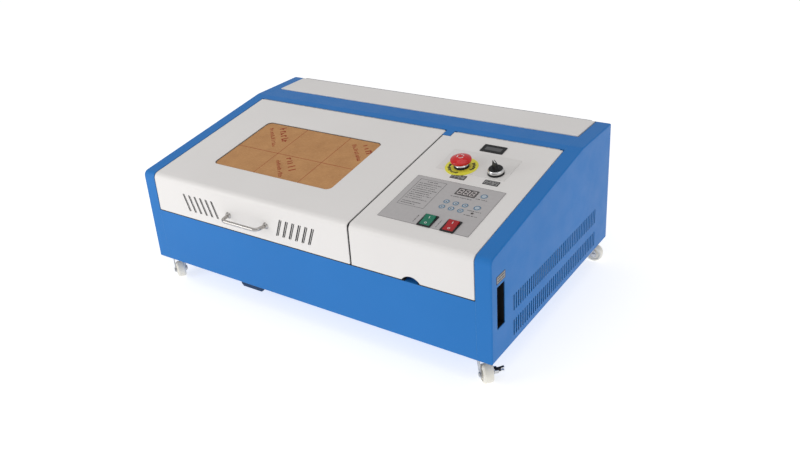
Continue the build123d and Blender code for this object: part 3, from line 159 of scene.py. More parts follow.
def skin(bm, rings, closed=False):
    """Walls between rings of equal count; the two ends are capped, or joined into a loop."""
    pairs = list(zip(rings, rings[1:]))
    if closed:
        pairs.append((rings[-1], rings[0]))
    else:
        bm.faces.new(list(reversed(rings[0])))
        bm.faces.new(rings[-1])
    for a, b in pairs:
        for i in range(len(a)):
            j = (i + 1) % len(a)
            bm.faces.new((a[i], a[j], b[j], b[i]))


def prism(bm, points, low, high, place, bevel=0.0):
    """Closed slab on an outline, with an optional chamfer round its upper edge."""
    count = len(points)
    cx = sum(p[0] for p in points) / count
    cy = sum(p[1] for p in points) / count
    reach = max(math.hypot(x - cx, y - cy) for x, y in points)
    levels = [(low, 1.0), (high - bevel, 1.0)]
    if bevel:
        levels.append((high, 1 - bevel / reach))
    rings = []
    for height, scale in levels:
        scaled = [(cx + (x - cx) * scale, cy + (y - cy) * scale) for x, y in points]
        rings.append(ring(bm, scaled, height, place))
    skin(bm, rings)


def lathe(bm, profile, place, steps=64):
    """Closed body of revolution; profile is (radius, height) points, the ends on the axis or
    joined to each other."""
    rings = []
    for radius, height in profile:
        rings.append(ring(bm, circle(radius, steps) if radius else [(0, 0)], height, place))
    pairs = list(zip(rings, rings[1:]))
    if profile[0][0] or profile[-1][0]:
        pairs.append((rings[-1], rings[0]))
    for a, b in pairs:
        for i in range(steps):
            j = (i + 1) % steps
            if len(a) == 1:
                bm.faces.new((a[0], b[j], b[i]))
            elif len(b) == 1:
                bm.faces.new((a[i], a[j], b[0]))
            else:
                bm.faces.new((a[i], a[j], b[j], b[i]))


def pierced_plate(bm, outlines, low, high, place):
    """Thin plate on the first outline, with the others cut through it."""
    edges = []
    for points in outlines:
        corners = [bm.verts.new((x, y, low)) for x, y in points]
        edges += [bm.edges.new(pair) for pair in zip(corners, corners[1:] + corners[:1])]
    filled = bmesh.ops.triangle_fill(bm, use_beauty=True, edges=edges)
    faces = [item for item in filled["geom"] if isinstance(item, bmesh.types.BMFace)]
    lifted = bmesh.ops.extrude_face_region(bm, geom=faces)
    upper = [item for item in lifted["geom"] if isinstance(item, bmesh.types.BMVert)]
    bmesh.ops.translate(bm, vec=(0, 0, high - low), verts=upper)
    bm.transform(place)


SHARP_ANGLE = math.radians(35.0)  # edges that turn more than this stay sharp


def add_object(name, data):
    """New object in the scene."""
    item = bpy.data.objects.new(name, data)
    bpy.context.scene.collection.objects.link(item)
    return item


def finish(bm, name, body, material):
    """Turns a bmesh into a piece that rides on a body, in the material given."""
    bmesh.ops.recalc_face_normals(bm, faces=bm.faces)
    mesh = bpy.data.meshes.new(name)
    bm.to_mesh(mesh)
    bm.free()
    mesh.materials.append(material)
    mesh.shade_smooth()
    mesh.set_sharp_from_angle(angle=SHARP_ANGLE)
    piece = add_object(name, mesh)
    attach(piece, body)


def single(name, body, slot, material, make, *shape):
    """Piece made by one call of a mesh builder."""
    bm = bmesh.new()
    make(bm, *shape)
    finish(bm, name, body, material)


# ---- Node materials ----
class Shader:
    """A Principled material with short calls for the nodes that all of them share."""

    def __init__(self, name, **sockets):
        self.material = bpy.data.materials.new(name)
        self.material.use_nodes = True
        self.tree = self.material.node_tree
        self.surface = self.tree.nodes["Principled BSDF"]
        for socket, value in sockets.items():
            self.surface.inputs[socket.replace("_", " ")].default_value = value
        self.coordinates = self.tree.nodes.new("ShaderNodeTexCoord").outputs["Object"]

    def link(self, output, node_input):
        self.tree.links.new(output, node_input)

    def node(self, kind, **inputs):
        """New node; each input named is linked to an output or set to a value."""
        node = self.tree.nodes.new(f"ShaderNode{kind}")
        for name, value in inputs.items():
            if isinstance(value, bpy.types.NodeSocket):
                self.link(value, node.inputs[name])
            else:
                node.inputs[name].default_value = value
        return node

    def stretched(self, scale):
        """Object coordinates scaled per axis."""
        return self.node("Mapping", Vector=self.coordinates, Scale=scale).outputs["Vector"]

    def noise(self, scale, detail=3.0, roughness=0.5, vector=None):
        node = self.node("TexNoise", Vector=vector or self.coordinates, Scale=scale,
                         Detail=detail, Roughness=roughness)
        return node.outputs["Fac"]

    def cells(self, scale, feature="F1", output="Color"):
        node = self.node("TexVoronoi", Vector=self.coordinates, Scale=scale)
        node.feature = feature
        return node.outputs[output]

    def ramp(self, factor, *stops):
        """Colour or grey ramp through (position, value) stops."""
        node = self.node("ValToRGB", Fac=factor)
        elements = node.color_ramp.elements
        while len(elements) < len(stops):
            elements.new(0.5)
        for element, (position, value) in zip(elements, stops):
            element.position = position
            element.color = (*value, 1) if isinstance(value, tuple) else (value,) * 3 + (1,)
        return node.outputs["Color"]

    def mix(self, factor, a, b):
        """Mixes two colours; each is an output or a tuple."""
        node = self.node("Mix")
        node.data_type = "RGBA"
        self.link(factor, node.inputs[0])
        for value, index in ((a, 6), (b, 7)):
            if isinstance(value, tuple):
                node.inputs[index].default_value = (*value, 1)
            else:
                self.link(value, node.inputs[index])
        return node.outputs[2]

    def bump(self, height, strength, distance):
        """Adds relief, on top of whatever relief is already there."""
        node = self.node("Bump", Height=height, Strength=strength, Distance=distance)
        normal = self.surface.inputs["Normal"]
        if normal.links:
            self.link(normal.links[0].from_socket, node.inputs["Normal"])
        self.link(node.outputs["Normal"], normal)

    def soft_edges(self, radius):
        """Shades sharp folds as small radii, and gives a mask that is 1 on those folds."""
        bevel = self.node("Bevel", Radius=radius)
        bevel.samples = 4
        product = self.node("VectorMath")
        product.operation = "DOT_PRODUCT"
        self.link(bevel.outputs["Normal"], product.inputs[0])
        self.link(self.node("NewGeometry").outputs["Normal"], product.inputs[1])
        self.link(bevel.outputs["Normal"], self.surface.inputs["Normal"])
        return self.ramp(product.outputs["Value"], (0.80, 1.0), (0.985, 0.0))

    def colour(self, output):
        self.link(output, self.surface.inputs["Base Color"])

    def roughness(self, output):
        self.link(output, self.surface.inputs["Roughness"])


def powder_coat(name, tone, deep, pale_dust_and_highlight, specular=0.40):
    """Satin powder coat: orange-peel relief, slow tone drift, dust specks, and folds painted lighter: partly
    rubbed wear, partly a painted highlight along the bends.
    """
    s = Shader(name, Metallic=0.0, Specular_IOR_Level=specular)
    edge = s.soft_edges(1.0 * MM)
    drift = s.noise(5.0, 2.0)
    base = s.mix(s.ramp(drift, (0.3, 0.0), (0.7, 1.0)), deep, tone)
    specks = s.ramp(s.noise(900.0, 2.0), (0.70, 0.0), (0.80, 1.0))
    base = s.mix(specks, base, pale_dust_and_highlight)
    # folds painted lighter in patches: a painted highlight along the bends, broken up like rubbed wear
    rubbed_and_highlit_folds = s.mix(s.noise(120.0, 3.0), (0.0, 0.0, 0.0), edge)
    s.colour(s.mix(rubbed_and_highlit_folds, base, pale_dust_and_highlight))
    s.roughness(s.ramp(s.noise(22.0, 4.0, 0.6), (0.3, 0.34), (0.7, 0.46)))
    s.bump(s.noise(650.0, 2.0), 0.10, 0.12 * MM)
    return s.material


def plated_steel(name):
    """Zinc plating with its spangle and fine scratches."""
    s = Shader(name, Metallic=1.0)
    spangle = s.ramp(s.cells(260.0), (0.2, (0.42, 0.43, 0.45)), (0.8, (0.62, 0.62, 0.62)))
    s.colour(spangle)
    s.roughness(s.ramp(s.noise(320.0, 4.0), (0.3, 0.28), (0.7, 0.48)))
    s.bump(s.noise(1500.0, 3.0), 0.08, 0.1 * MM)
    return s.material


def polished(name, tone, rough):
    """Polished plating with faint handling marks."""
    s = Shader(name, Metallic=1.0)
    dark = tuple(c * 0.86 for c in tone)
    s.colour(s.mix(s.noise(60.0, 3.0), dark, tone))
    s.roughness(s.ramp(s.noise(140.0, 4.0), (0.35, rough * 0.6), (0.7, rough * 1.7)))
    s.bump(s.noise(240.0, 2.0), 0.04, 0.1 * MM)
    return s.material


def brushed(name, tone):
    """Brushed aluminium with its grain along X."""
    s = Shader(name, Metallic=1.0)
    lines = s.noise(1.0, 4.0, 0.6, s.stretched((30.0, 1400.0, 1400.0)))
    dark = tuple(c * 0.78 for c in tone)
    s.colour(s.mix(lines, dark, tone))
    s.roughness(s.ramp(lines, (0.3, 0.26), (0.7, 0.46)))
    s.bump(lines, 0.12, 0.05 * MM)
    return s.material


def moulded(name, tone, rough=(0.38, 0.55), grain=0.12, specular=0.45):
    """Moulded plastic with a fine spark-eroded texture."""
    s = Shader(name, Specular_IOR_Level=specular)
    s.soft_edges(0.35 * MM)
    lighter = tuple(min(1.0, c * 1.18 + 0.004) for c in tone)
    s.colour(s.mix(s.ramp(s.noise(70.0, 3.0), (0.3, 0.0), (0.7, 1.0)), tone, lighter))
    s.roughness(s.ramp(s.noise(240.0, 3.0), (0.3, rough[0]), (0.7, rough[1])))
    s.bump(s.noise(1800.0, 2.0), grain, 0.08 * MM)
    return s.material


def glossy(name, tone, deep, coat):
    """Glossy coloured plastic, a little deeper in tone in random patches."""
    s = Shader(name, Coat_Weight=coat, Coat_Roughness=0.06, Specular_IOR_Level=0.35)
    s.soft_edges(0.5 * MM)
    s.colour(s.mix(s.ramp(s.noise(50.0, 2.0), (0.3, 0.0), (0.7, 1.0)), deep, tone))
    s.roughness(s.ramp(s.noise(180.0, 3.0), (0.3, 0.16), (0.7, 0.28)))
    s.bump(s.noise(90.0, 2.0), 0.05, 0.2 * MM)
    return s.material


def printed(name, tone, rough=0.55):
    """Printed film or ink, slightly uneven."""
    s = Shader(name, Specular_IOR_Level=0.35)
    dark = tuple(c * 0.88 for c in tone)
    s.colour(s.mix(s.noise(160.0, 3.0), dark, tone))
    s.roughness(s.ramp(s.noise(420.0, 2.0), (0.3, rough - 0.08), (0.7, rough + 0.08)))
    s.bump(s.noise(2200.0, 2.0), 0.08, 0.05 * MM)
    return s.material


def kraft_paper(name):
    """Brown protective paper on the pane, with short fibres along X."""
    s = Shader(name, Specular_IOR_Level=0.25)
    fibres = s.noise(1.0, 4.0, 0.65, s.stretched((160.0, 1100.0, 1100.0)))
    clouds = s.ramp(s.noise(26.0, 4.0, 0.6), (0.3, 0.0), (0.7, 1.0))
    paper = s.mix(clouds, (0.430, 0.205, 0.075), (0.520, 0.262, 0.100))
    s.colour(s.mix(s.ramp(fibres, (0.45, 0.0), (0.72, 0.5)), paper, (0.68, 0.40, 0.18)))
    s.roughness(s.ramp(fibres, (0.3, 0.5), (0.7, 0.68)))
    s.bump(fibres, 0.2, 0.06 * MM)
    return s.material


def dark_glass(name, tone):
    """Smoked display window with faint wipe marks."""
    s = Shader(name, Coat_Weight=0.5, Coat_Roughness=0.05)
    s.colour(s.mix(s.noise(90.0, 3.0), tone, tuple(c * 1.4 + 0.004 for c in tone)))
    s.roughness(s.ramp(s.noise(60.0, 4.0), (0.35, 0.10), (0.7, 0.22)))
    return s.material


def lit(name, tone, strength):
    """Display segment, dimly lit."""
    s = Shader(name, Roughness=0.4, Emission_Strength=strength)
    glow = s.mix(s.noise(600.0, 2.0), tuple(c * 0.8 for c in tone), tone)
    s.colour(glow)
    s.link(glow, s.surface.inputs["Emission Color"])
    return s.material


def clear_tube(name):
    """Borosilicate envelope of the laser tube."""
    s = Shader(name, Transmission_Weight=0.85, IOR=1.47, Alpha=0.55)
    s.colour(s.mix(s.noise(12.0, 2.0), (0.80, 0.90, 0.92), (0.90, 0.96, 0.96)))
    s.roughness(s.ramp(s.noise(30.0, 3.0), (0.3, 0.03), (0.7, 0.10)))
    return s.material


def circuit_board(name):
    """Solder mask with tracks and plated pads."""
    s = Shader(name, Specular_IOR_Level=0.5)
    tracks = s.ramp(s.cells(230.0, "DISTANCE_TO_EDGE", "Distance"), (0.02, 1.0), (0.05, 0.0))
    pads = s.ramp(s.cells(420.0, "F1", "Distance"), (0.10, 1.0), (0.14, 0.0))
    mask = s.mix(tracks, (0.012, 0.10, 0.045), (0.03, 0.20, 0.09))
    s.colour(s.mix(pads, mask, (0.66, 0.60, 0.42)))
    s.roughness(s.ramp(pads, (0.0, 0.36), (1.0, 0.24)))
    s.bump(tracks, 0.2, 0.05 * MM)
    return s.material


BLUE = powder_coat(
    "blue_powder_coat", (0.022, 0.184, 0.530), (0.020, 0.172, 0.500), (0.13, 0.36, 0.70), 0.15
)
WHITE = powder_coat(
    "white_powder_coat", (0.800, 0.776, 0.755), (0.772, 0.748, 0.727), (0.88, 0.87, 0.85)
)
ZINC = plated_steel("zinc_plating")
CHROME = polished("chrome_plating", (0.66, 0.65, 0.65), 0.10)
ALUMINIUM = brushed("brushed_aluminium", (0.66, 0.67, 0.69))
KRAFT = kraft_paper("kraft_paper_film")
OVERLAY_GREY = printed("overlay_film", (0.485, 0.465, 0.462), 0.50)
KEY_BLUE = printed("key_film", (0.47, 0.53, 0.58), 0.42)
KEY_RING = printed("key_ring_ink", (0.030, 0.130, 0.250))
BLACK = moulded("black_moulding", (0.008, 0.008, 0.009), (0.40, 0.56), 0.12, 0.28)
GREEN = glossy("green_cap", (0.004, 0.185, 0.105), (0.002, 0.130, 0.070), 0.15)
RED = glossy("red_cap", (0.420, 0.002, 0.006), (0.300, 0.001, 0.004), 0.15)
STOP_RED = glossy("stop_red", (0.640, 0.004, 0.006), (0.540, 0.003, 0.004), 0.25)
STOP_YELLOW = printed("stop_yellow", (0.840, 0.800, 0.070))
NYLON = moulded("natural_nylon", (0.760, 0.735, 0.660), (0.35, 0.50), 0.08)
GLASS = clear_tube("tube_glass")
BOARD = circuit_board("circuit_board")
# dark print; also used for the painted shade in the gap round the lid's window
DARK_INK_AND_SHADE = printed("dark_ink_and_painted_shade", (0.020, 0.019, 0.021))
INK_PALE = printed("pale_ink", (0.72, 0.71, 0.69))
INK_RED = printed("paper_ink", (0.330, 0.036, 0.003))
PLATE_GREY = printed("label_plate", (0.300, 0.295, 0.290))
SCREEN = dark_glass("smoked_window", (0.030, 0.022, 0.022))
METER_GLASS = dark_glass("meter_window", (0.034, 0.034, 0.037))
# navy painted as the shade on the scrap tray's blue tab
TAB_SHADE = moulded("tab_painted_shade", (0.003, 0.030, 0.090), (0.45, 0.60), 0.12, 0.25)
HANDLE_CHROME = polished("handle_chrome", (0.47, 0.45, 0.43), 0.22)
SILVER = polished("satin_silver", (0.86, 0.86, 0.86), 0.20)
PLATE_WHITE = powder_coat(
    "plate_coat", (0.745, 0.722, 0.700), (0.720, 0.698, 0.676), (0.84, 0.82, 0.80)
)
SEGMENT = lit("display_segment", (0.50, 0.46, 0.45), 0.25)
BRASS = polished("gold_mirror", (0.86, 0.62, 0.26), 0.08)
# black rubber; also used as painted shade inside the vent slots, below the skirts and in the seam between the
# covers
RUBBER_AND_SHADE = moulded("black_rubber_and_painted_shade", (0.016, 0.016, 0.017), (0.55, 0.75), 0.2, 0.25)


NODE_MATERIALS = dict(
    blue_paint=BLUE, white_paint=WHITE, zinc_steel=ZINC, chrome=HANDLE_CHROME,
    aluminium=ALUMINIUM, window_film=KRAFT, overlay_grey=OVERLAY_GREY, key_blue=KEY_BLUE,
    black_plastic=BLACK, green_plastic=GREEN, red_plastic=RED, estop_red=STOP_RED,
    estop_yellow=STOP_YELLOW, nylon=NYLON, tube_glass=GLASS, board_green=BOARD,
)


def dress_frame():
    """Gives every CAD node the material of its slot in the record."""
    for entry in frame["record"]["subparts"]:
        node = frame["nodes"][entry["node"]]
        material = NODE_MATERIALS[entry["material_slot"]]
        if not node.material_slots:
            node.data.materials.append(material)
        for slot in node.material_slots:
            slot.material = material


# ---- Printing on the panel, in millimetres ----
INK_THICK = 0.06
SMALL_PRINT = 1.7  # height of a caption's marks
MARK_RUN = (0.6, 2.2)  # a mark's length, height and gap as parts of the print size
MARK_HEIGHT = (0.7, 1.0)
MARK_GAPS = (0.35, 0.45, 1.1)
LINE_ENDS = (0.0, 0.05, 0.15, 0.35)  # part of a text block's width that a row leaves empty

DIGIT_SIZE = (7.4, 13.6)
DIGIT_STROKE = 1.6
DIGIT_PITCH = 12.2
DIGIT_LEAN = 0.12  # sideways shift per millimetre of height
DIGIT_THICK = 0.12
DISPLAY_THICK = 0.5

FIRST_LARGE_KEY = 7  # keys 7 and 8 are larger and carry no symbol
KEY_TURNS = {1: 0.0, 2: 90.0, 3: 180.0, 5: -90.0}  # arrow directions; other keys carry bars
KEY_PRINT_THICK = 0.08

# the rocker caps in the CAD: built tilt in degrees, height at the ends and in the middle
ROCKER_TILT = 8.0
ROCKER_CREST, ROCKER_VALLEY, ROCKER_HALF = 3.6, 2.2, 13.1
ROCKER_PRINT_SINK, ROCKER_PRINT_THICK = 0.05, 0.13


def caption(bm, rng, start, end, size, h, place=SHEET):
    """Row of short marks from start to end that stands for a line of small print."""
    a, b = Vector(start), Vector(end)
    along = (b - a).normalized()
    reach = (b - a).length
    at = 0.0
    while at < reach - size / 2:
        run = min(rng.uniform(*MARK_RUN) * size, reach - at)
        mark = bar(a + along * at, a + along * (at + run), size * rng.uniform(*MARK_HEIGHT))
        prism(bm, mark, h, h + INK_THICK, place)
        at += run + rng.choice(MARK_GAPS) * size


def text_block(bm, rng, box, rows, h):
    """Rows of print in a box, each ending where its last word would."""
    left, foot, right, head = box
    pitch = (head - foot) / rows
    for row in range(rows):
        s = head - (row + 0.5) * pitch
        end = right - (right - left) * rng.choice(LINE_ENDS)
        caption(bm, rng, (left, s), (end, s), SMALL_PRINT, h)


def outline(bm, box, width, h):
    """Thin printed frame."""
    left, foot, right, head = box
    corners = [(left, foot), (right, foot), (right, head), (left, head)]
    for a, b in zip(corners, corners[1:] + corners[:1]):
        prism(bm, bar(a, b, width), h, h + INK_THICK, SHEET)


def overlay_print():
    """Dark print on the grey overlay: framed text, captions and a hairline border."""
    rng = random.Random(7)
    bm = bmesh.new()
    left, foot, right, head, h = panel_box("control_overlay")
    margin = 0.3
    outline(bm, (left + margin, foot + margin, right - margin, head - margin), 0.4, h)
    outline(bm, (left + 12, foot + 45.5, left + 66, head - 9.5), 0.6, h)
    heading_s, heading_size = head - 15, 2.4
    caption(bm, rng, (left + 29, heading_s), (left + 50, heading_s), heading_size, h)
    text_block(bm, rng, (left + 16, foot + 64, left + 62, head - 19), 9, h)
    text_block(bm, rng, (left + 16, foot + 48.5, left + 60, foot + 60), 2, h)
    display_x, display_s = DISPLAY_PLACE
    lamp_x, lamp_s = LAMP_PLACE
    places = [(display_x - 23, display_x + 19, display_s - 16.8)]
    for number, reach in ((7, 11), (8, 13)):
        x, s, _ = panel_place(f"key_{number}")
        places.append((x - reach, x + reach, s - 10.8))
    places.append((lamp_x - 12, lamp_x + 12.5, lamp_s - 7.5))
    for start, end, s in places:
        caption(bm, rng, (start, s), (end, s), SMALL_PRINT, h)
    for rocker in ("green_rocker", "red_rocker"):
        x, s, _ = panel_place(rocker)
        beside = x - 23.3
        caption(bm, rng, (beside, s - 11), (beside, s + 10.5), 1.5, h)
    finish(bm, "overlay_print", "control_cover", DARK_INK_AND_SHADE)


def digit_segments(bm, x, s, h):
    """The seven bars of one display digit, leaning a little."""
    half_w, half_l = DIGIT_SIZE[0] / 2, DIGIT_SIZE[1] / 2
    ends = [((-half_w, level), (half_w, level)) for level in (half_l, 0, -half_l)]
    for foot, head in ((0, half_l), (-half_l, 0)):
        ends += [((across, foot), (across, head)) for across in (-half_w, half_w)]
    for a, b in ends:
        a, b = Vector(a), Vector(b)
        trim = (b - a).normalized() * DIGIT_STROKE * 0.65
        a, b = (Vector((p.x + p.y * DIGIT_LEAN + x, p.y + s)) for p in (a + trim, b - trim))
        direction = (b - a).normalized()
        side = Vector((-direction.y, direction.x)) * DIGIT_STROKE / 2
        point = direction * DIGIT_STROKE / 2
        hexagon = [a - point, a - side, b - side, b + point, b + side, a + side]
        prism(bm, [tuple(p) for p in hexagon], h, h + DIGIT_THICK, SHEET)


def display():
    """Smoked three-digit window on the overlay, and the round lamp window below it."""
    x, s = DISPLAY_PLACE
    glass_top = OVERLAY_TOP + DISPLAY_THICK
    single("display_window", "control_cover", "black_plastic", SCREEN, prism,
           moved(rounded(40.4, 21.2, 1.0), x, s), OVERLAY_TOP, glass_top, SHEET, 0.3)
    bm = bmesh.new()
    for i in (-1, 0, 1):
        digit_x = x + i * DIGIT_PITCH
        digit_segments(bm, digit_x, s, glass_top)
        point = circle(0.75, 16, (digit_x + 5.4, s - 7.2))
        prism(bm, point, glass_top, glass_top + DIGIT_THICK, SHEET)
    finish(bm, "display_digits", "control_cover", SEGMENT)
    dome = [(0, 0), (2.4, 0), (2.4, 0.4), (1.8, 1.0), (0.9, 1.3), (0, 1.4)]
    single("laser_on_lamp", "control_cover", "black_plastic", SCREEN, lathe,
           dome, on_panel(*LAMP_PLACE, OVERLAY_TOP), 32)


def arrow(length, width):
    """Outline of a plain arrow head that points up the slope."""
    return [(-width / 2, -length / 2), (width / 2, -length / 2), (0, length / 2)]


def key_marks():
    """Ring and symbol on every key; each rides on its own key."""
    for number in range(1, 9):
        x, s, low = panel_place(f"key_{number}")
        high = low + KEY_PRINT_THICK
        radius = 6.5 if number >= FIRST_LARGE_KEY else 5.75
        inner, outer = radius - 1.9, radius - 0.5
        band = [(inner, low), (inner, high), (outer, high), (outer, low)]
        single(f"key_{number}_ring", f"key_{number}", "key_blue", KEY_RING, lathe,
               band, on_panel(x, s), 48)
        if number >= FIRST_LARGE_KEY:
            continue
        place = on_panel(x, s, 0, KEY_TURNS.get(number, 0.0))
        shapes = [bar((-1.8, offset), (1.8, offset), 0.8) for offset in (-0.9, 0.9)]
        if number in KEY_TURNS:
            shapes = [arrow(3.0, 3.2)]
        bm = bmesh.new()
        for shape in shapes:
            prism(bm, shape, low, high, place)
        finish(bm, f"key_{number}_symbol", f"key_{number}", DARK_INK_AND_SHADE)


def rocker_marks():
    """I and O on the two rocker caps."""
    # the far half carries I, the near half O; each half leans towards the valley
    lean = math.atan2(ROCKER_CREST - ROCKER_VALLEY, ROCKER_HALF)
    low = ROCKER_VALLEY * math.cos(lean) - ROCKER_PRINT_SINK
    high = low + ROCKER_PRINT_THICK
    for body in ("green_rocker", "red_rocker"):
        pivot = Vector(JOINTS[f"{body}_tilt"]["pos_m"])
        tilt = Matrix.Rotation(math.radians(ROCKER_TILT), 4, "X")
        place = placed(X_AXIS, PANEL_OUT, pivot) @ tilt
        far = place @ Matrix.Rotation(lean, 4, "X")
        near = place @ Matrix.Rotation(-lean, 4, "X")
        bm = bmesh.new()
        prism(bm, bar((0, 4.8), (0, 9.6), 1.1), low, high, far)
        lathe(bm, [(1.5, low), (1.5, high), (2.4, high), (2.4, low)],
              near @ Matrix.Translation((0, -7.2, 0)), 32)
        finish(bm, f"{body}_marks", body, INK_PALE)


# ---- Trim round the switches, the window and the casters, in millimetres ----
PLATE_SIZE = (141.0, 73.5)
PLATE_SHIFT = (26.0, 17.0)  # from the emergency stop to the plate's middle
PLATE_THICK = 0.3
SWITCH_HOLE = 11.5  # radius
LABEL_RIM, LABEL_TOP = 1.7, 0.56
LABEL_LINES = (2.6, -2.6)  # two rows of print, from a label's middle

# the mushroom, the chrome neck and the selector's ring in the CAD
DOME_RADIUS = 37.2
NECK_LENGTH = 5.0
RING_LENGTH = 6.0
DOME_SINK = 0.1
RING_PRINT = ((183, 9), (-14, 6))  # first angle and number of characters of both words
RING_PRINT_STEP = 11.5  # degrees
ARROW_RADIUS, ARROW_HALF = 6.0, 0.65
ARROW_TURNS = (20.0, 140.0, 260.0)
POINTER_TURN = 45.0  # where the CAD's knob points, in degrees

WINDOW_OPENING = (300.0, 182.0)  # hole in the lid
GAP_SHADE_WIDTH, GAP_SHADE_SHIFT = 1.4, 0.6  # the painted shade in the gap shows wider on its upper left
RULE_S, RULE_XS = 158.0, (-166.0, -53.5)
RULE_WIDTH, FILM_INK = 1.1, 0.05
FILM_SLANT = -46.4  # slant of the print on the film, in degrees
# x, s, half the small line's length and half the large one's
FILM_PLACES = ((-222, 209, 42, 29), (-124, 112, 32, 31), (-7, 214, 34, 20))
SMALL_STROKES = (9.0, 1.9, 4.2)  # height, stroke and gap
LARGE_STROKES = (15.0, 3.4, 8.5)
LINE_SHIFT = 17  # from the small line to the large one
WORD_GAP = 5  # half the gap between the two large words

PRONG_SPAN, PRONG_HALF = (7.2, 13.2), 2.4
PRONGS = (((1.0, 3.2), (2.9, 4.2)), ((-2.8, -0.7), (-3.3, -2.1)))  # at the root and at the tip


def label_plate(plate, inlay, marks, rng, x, s, width, length):
    """Small plate with a dark rim, a grey field and two rows of marks."""
    prism(plate, moved(rounded(width, length, 0.6), x, s), 0, 0.5, SHEET, 0.15)
    field = rounded(width - 2 * LABEL_RIM, length - 2 * LABEL_RIM, 0.4)
    prism(inlay, moved(field, x, s), 0.4, LABEL_TOP, SHEET)
    reach = width / 2 - 3.5
    for offset in LABEL_LINES:
        line = s + offset
        caption(marks, rng, (x - reach, line), (x + reach, line), 2.8, LABEL_TOP)


def panel_labels():
    """The thin plate that carries both switches, and a label plate below each of them."""
    x, s, _ = panel_place("estop_ring")
    holes = [
        circle(SWITCH_HOLE, 32, panel_place(node)[:2]) for node in ("estop_ring", "selector_knob")
    ]
    plate = moved(rounded(*PLATE_SIZE, 2.0), x + PLATE_SHIFT[0], s + PLATE_SHIFT[1])
    bm = bmesh.new()
    pierced_plate(bm, [plate] + holes, 0, PLATE_THICK, SHEET)
    finish(bm, "switch_plate", "control_cover", PLATE_WHITE)
    rng = random.Random(11)
    plate, inlay, marks = bmesh.new(), bmesh.new(), bmesh.new()
    label_plate(plate, inlay, marks, rng, x + 11.8, s - 33.9, 29.8, 13.8)
    x, s, _ = panel_place("selector_knob")
    label_plate(plate, inlay, marks, rng, x + 7.0, s - 32.1, 29.8, 14.2)
    finish(plate, "switch_labels", "control_cover", DARK_INK_AND_SHADE)
    finish(inlay, "switch_label_fields", "control_cover", PLATE_GREY)
    finish(marks, "switch_label_print", "control_cover", DARK_INK_AND_SHADE)


def dome_patch(bm, points, place, top):
    """Thin patch that follows the mushroom's dome, on an outline seen from above."""
    rings = []
    for lift in (-DOME_SINK, INK_THICK):
        rings.append([])
        for x, y in points:
            h = top - DOME_RADIUS + math.sqrt(DOME_RADIUS**2 - x * x - y * y) + lift
            rings[-1].append(bm.verts.new(place @ Vector((x, y, h))))
    skin(bm, rings)


def estop_trim():
    """Chrome sleeve on the neck, turning arrows on the mushroom and marks round the ring."""
    x, s, top = panel_place("estop_button")
    _, _, ring_top = panel_place("estop_ring")
    _, _, neck_top = panel_place("estop_collar")
    foot = neck_top - NECK_LENGTH
    sleeve = [(11.5, foot), (13.3, foot), (13.4, foot + 0.8), (12.9, foot + 1.6),
              (12.9, neck_top - 0.4), (12.6, neck_top + 0.05), (11.5, neck_top + 0.05)]
    single("estop_neck", "control_cover", "chrome", CHROME, lathe, sleeve, on_panel(x, s))
    rng = random.Random(3)
    bm = bmesh.new()
    for start, count in RING_PRINT:
        for i in range(count):
            place = on_panel(x, s, ring_top, start + i * RING_PRINT_STEP)
            for offset in (-1.5, 0.0, 1.5):
                inner, outer = rng.uniform(19.6, 22.6), rng.uniform(23.6, 26.6)
                lean = rng.uniform(-0.5, 0.5)
                mark = bar((inner, offset - lean), (outer, offset + lean), 1.3)
                prism(bm, mark, 0, INK_THICK, place)
            across = rng.choice((20.4, 23.0, 25.6))
            prism(bm, bar((across, -1.9), (across, 1.9), 1.4), 0, INK_THICK, place)
    finish(bm, "estop_ring_print", "control_cover", DARK_INK_AND_SHADE)
    bm = bmesh.new()
    steps = [math.radians(a) for a in range(0, 71, 10)]
    for turn in ARROW_TURNS:
        place = on_panel(x, s, 0, turn)
        for a, b in zip(steps, steps[1:]):
            outer = [polar(ARROW_RADIUS + ARROW_HALF, t) for t in (a, b)]
            inner = [polar(ARROW_RADIUS - ARROW_HALF, t) for t in (b, a)]
            dome_patch(bm, outer + inner, place, top)
        head = [polar(ARROW_RADIUS + 1.8, steps[-1]), polar(ARROW_RADIUS, math.radians(92)),
                polar(ARROW_RADIUS - 1.8, steps[-1])]
        dome_patch(bm, head, place, top)
    finish(bm, "estop_arrows", "estop_button", INK_PALE)


def selector_trim():
    """Silver ring round the knob and the white line on its grip."""
    x, s, top = panel_place("selector_knob")
    _, _, ring_top = panel_place("selector_body")
    foot = ring_top - RING_LENGTH
    collar = [(13.2, foot), (14.6, foot), (14.8, foot + 0.7), (14.5, ring_top - 1.6),
              (13.9, ring_top - 0.2), (13.2, ring_top + 0.3), (12.85, ring_top + 0.1),
              (12.85, foot + 2.2), (13.2, foot + 2.0)]
    single("selector_ring", "control_cover", "chrome", SILVER, lathe, collar, on_panel(x, s))
    line = bar((0, -1.0), (0, 10.0), 2.0)
    single("selector_pointer", "selector_knob", None, INK_PALE, prism,
           line, top - 0.05, top + 0.07, on_panel(x, s, 0, POINTER_TURN))


def meter_screen():
    """Smoked screen in the meter's recess."""
    x, s, top = panel_place("panel_meter")
    single("meter_screen", "control_cover", "black_plastic", METER_GLASS, prism,
           moved(rounded(34.2, 12.1, 0.4), x, s), top - 0.85, top - 0.3, SHEET, 0.1)


def strokes(bm, rng, start, end, style, h, place):
    """Row of upright strokes and cross strokes that stands for a line of large print."""
    height, stroke, gap = style
    at = start
    while at < end:
        tall = height * rng.choice((0.55, 0.75, 1.0))
        upright = bar((at, -height / 2), (at, tall - height / 2), stroke)
        prism(bm, upright, h, h + FILM_INK, place)
        if rng.random() < 0.5:
            level = rng.choice((-0.35, 0.0, 0.2)) * height
            cross = bar((at, level), (at + gap * 0.7, level), stroke)
            prism(bm, cross, h, h + FILM_INK, place)
        at += gap * rng.choice((1.0, 1.0, 1.6))


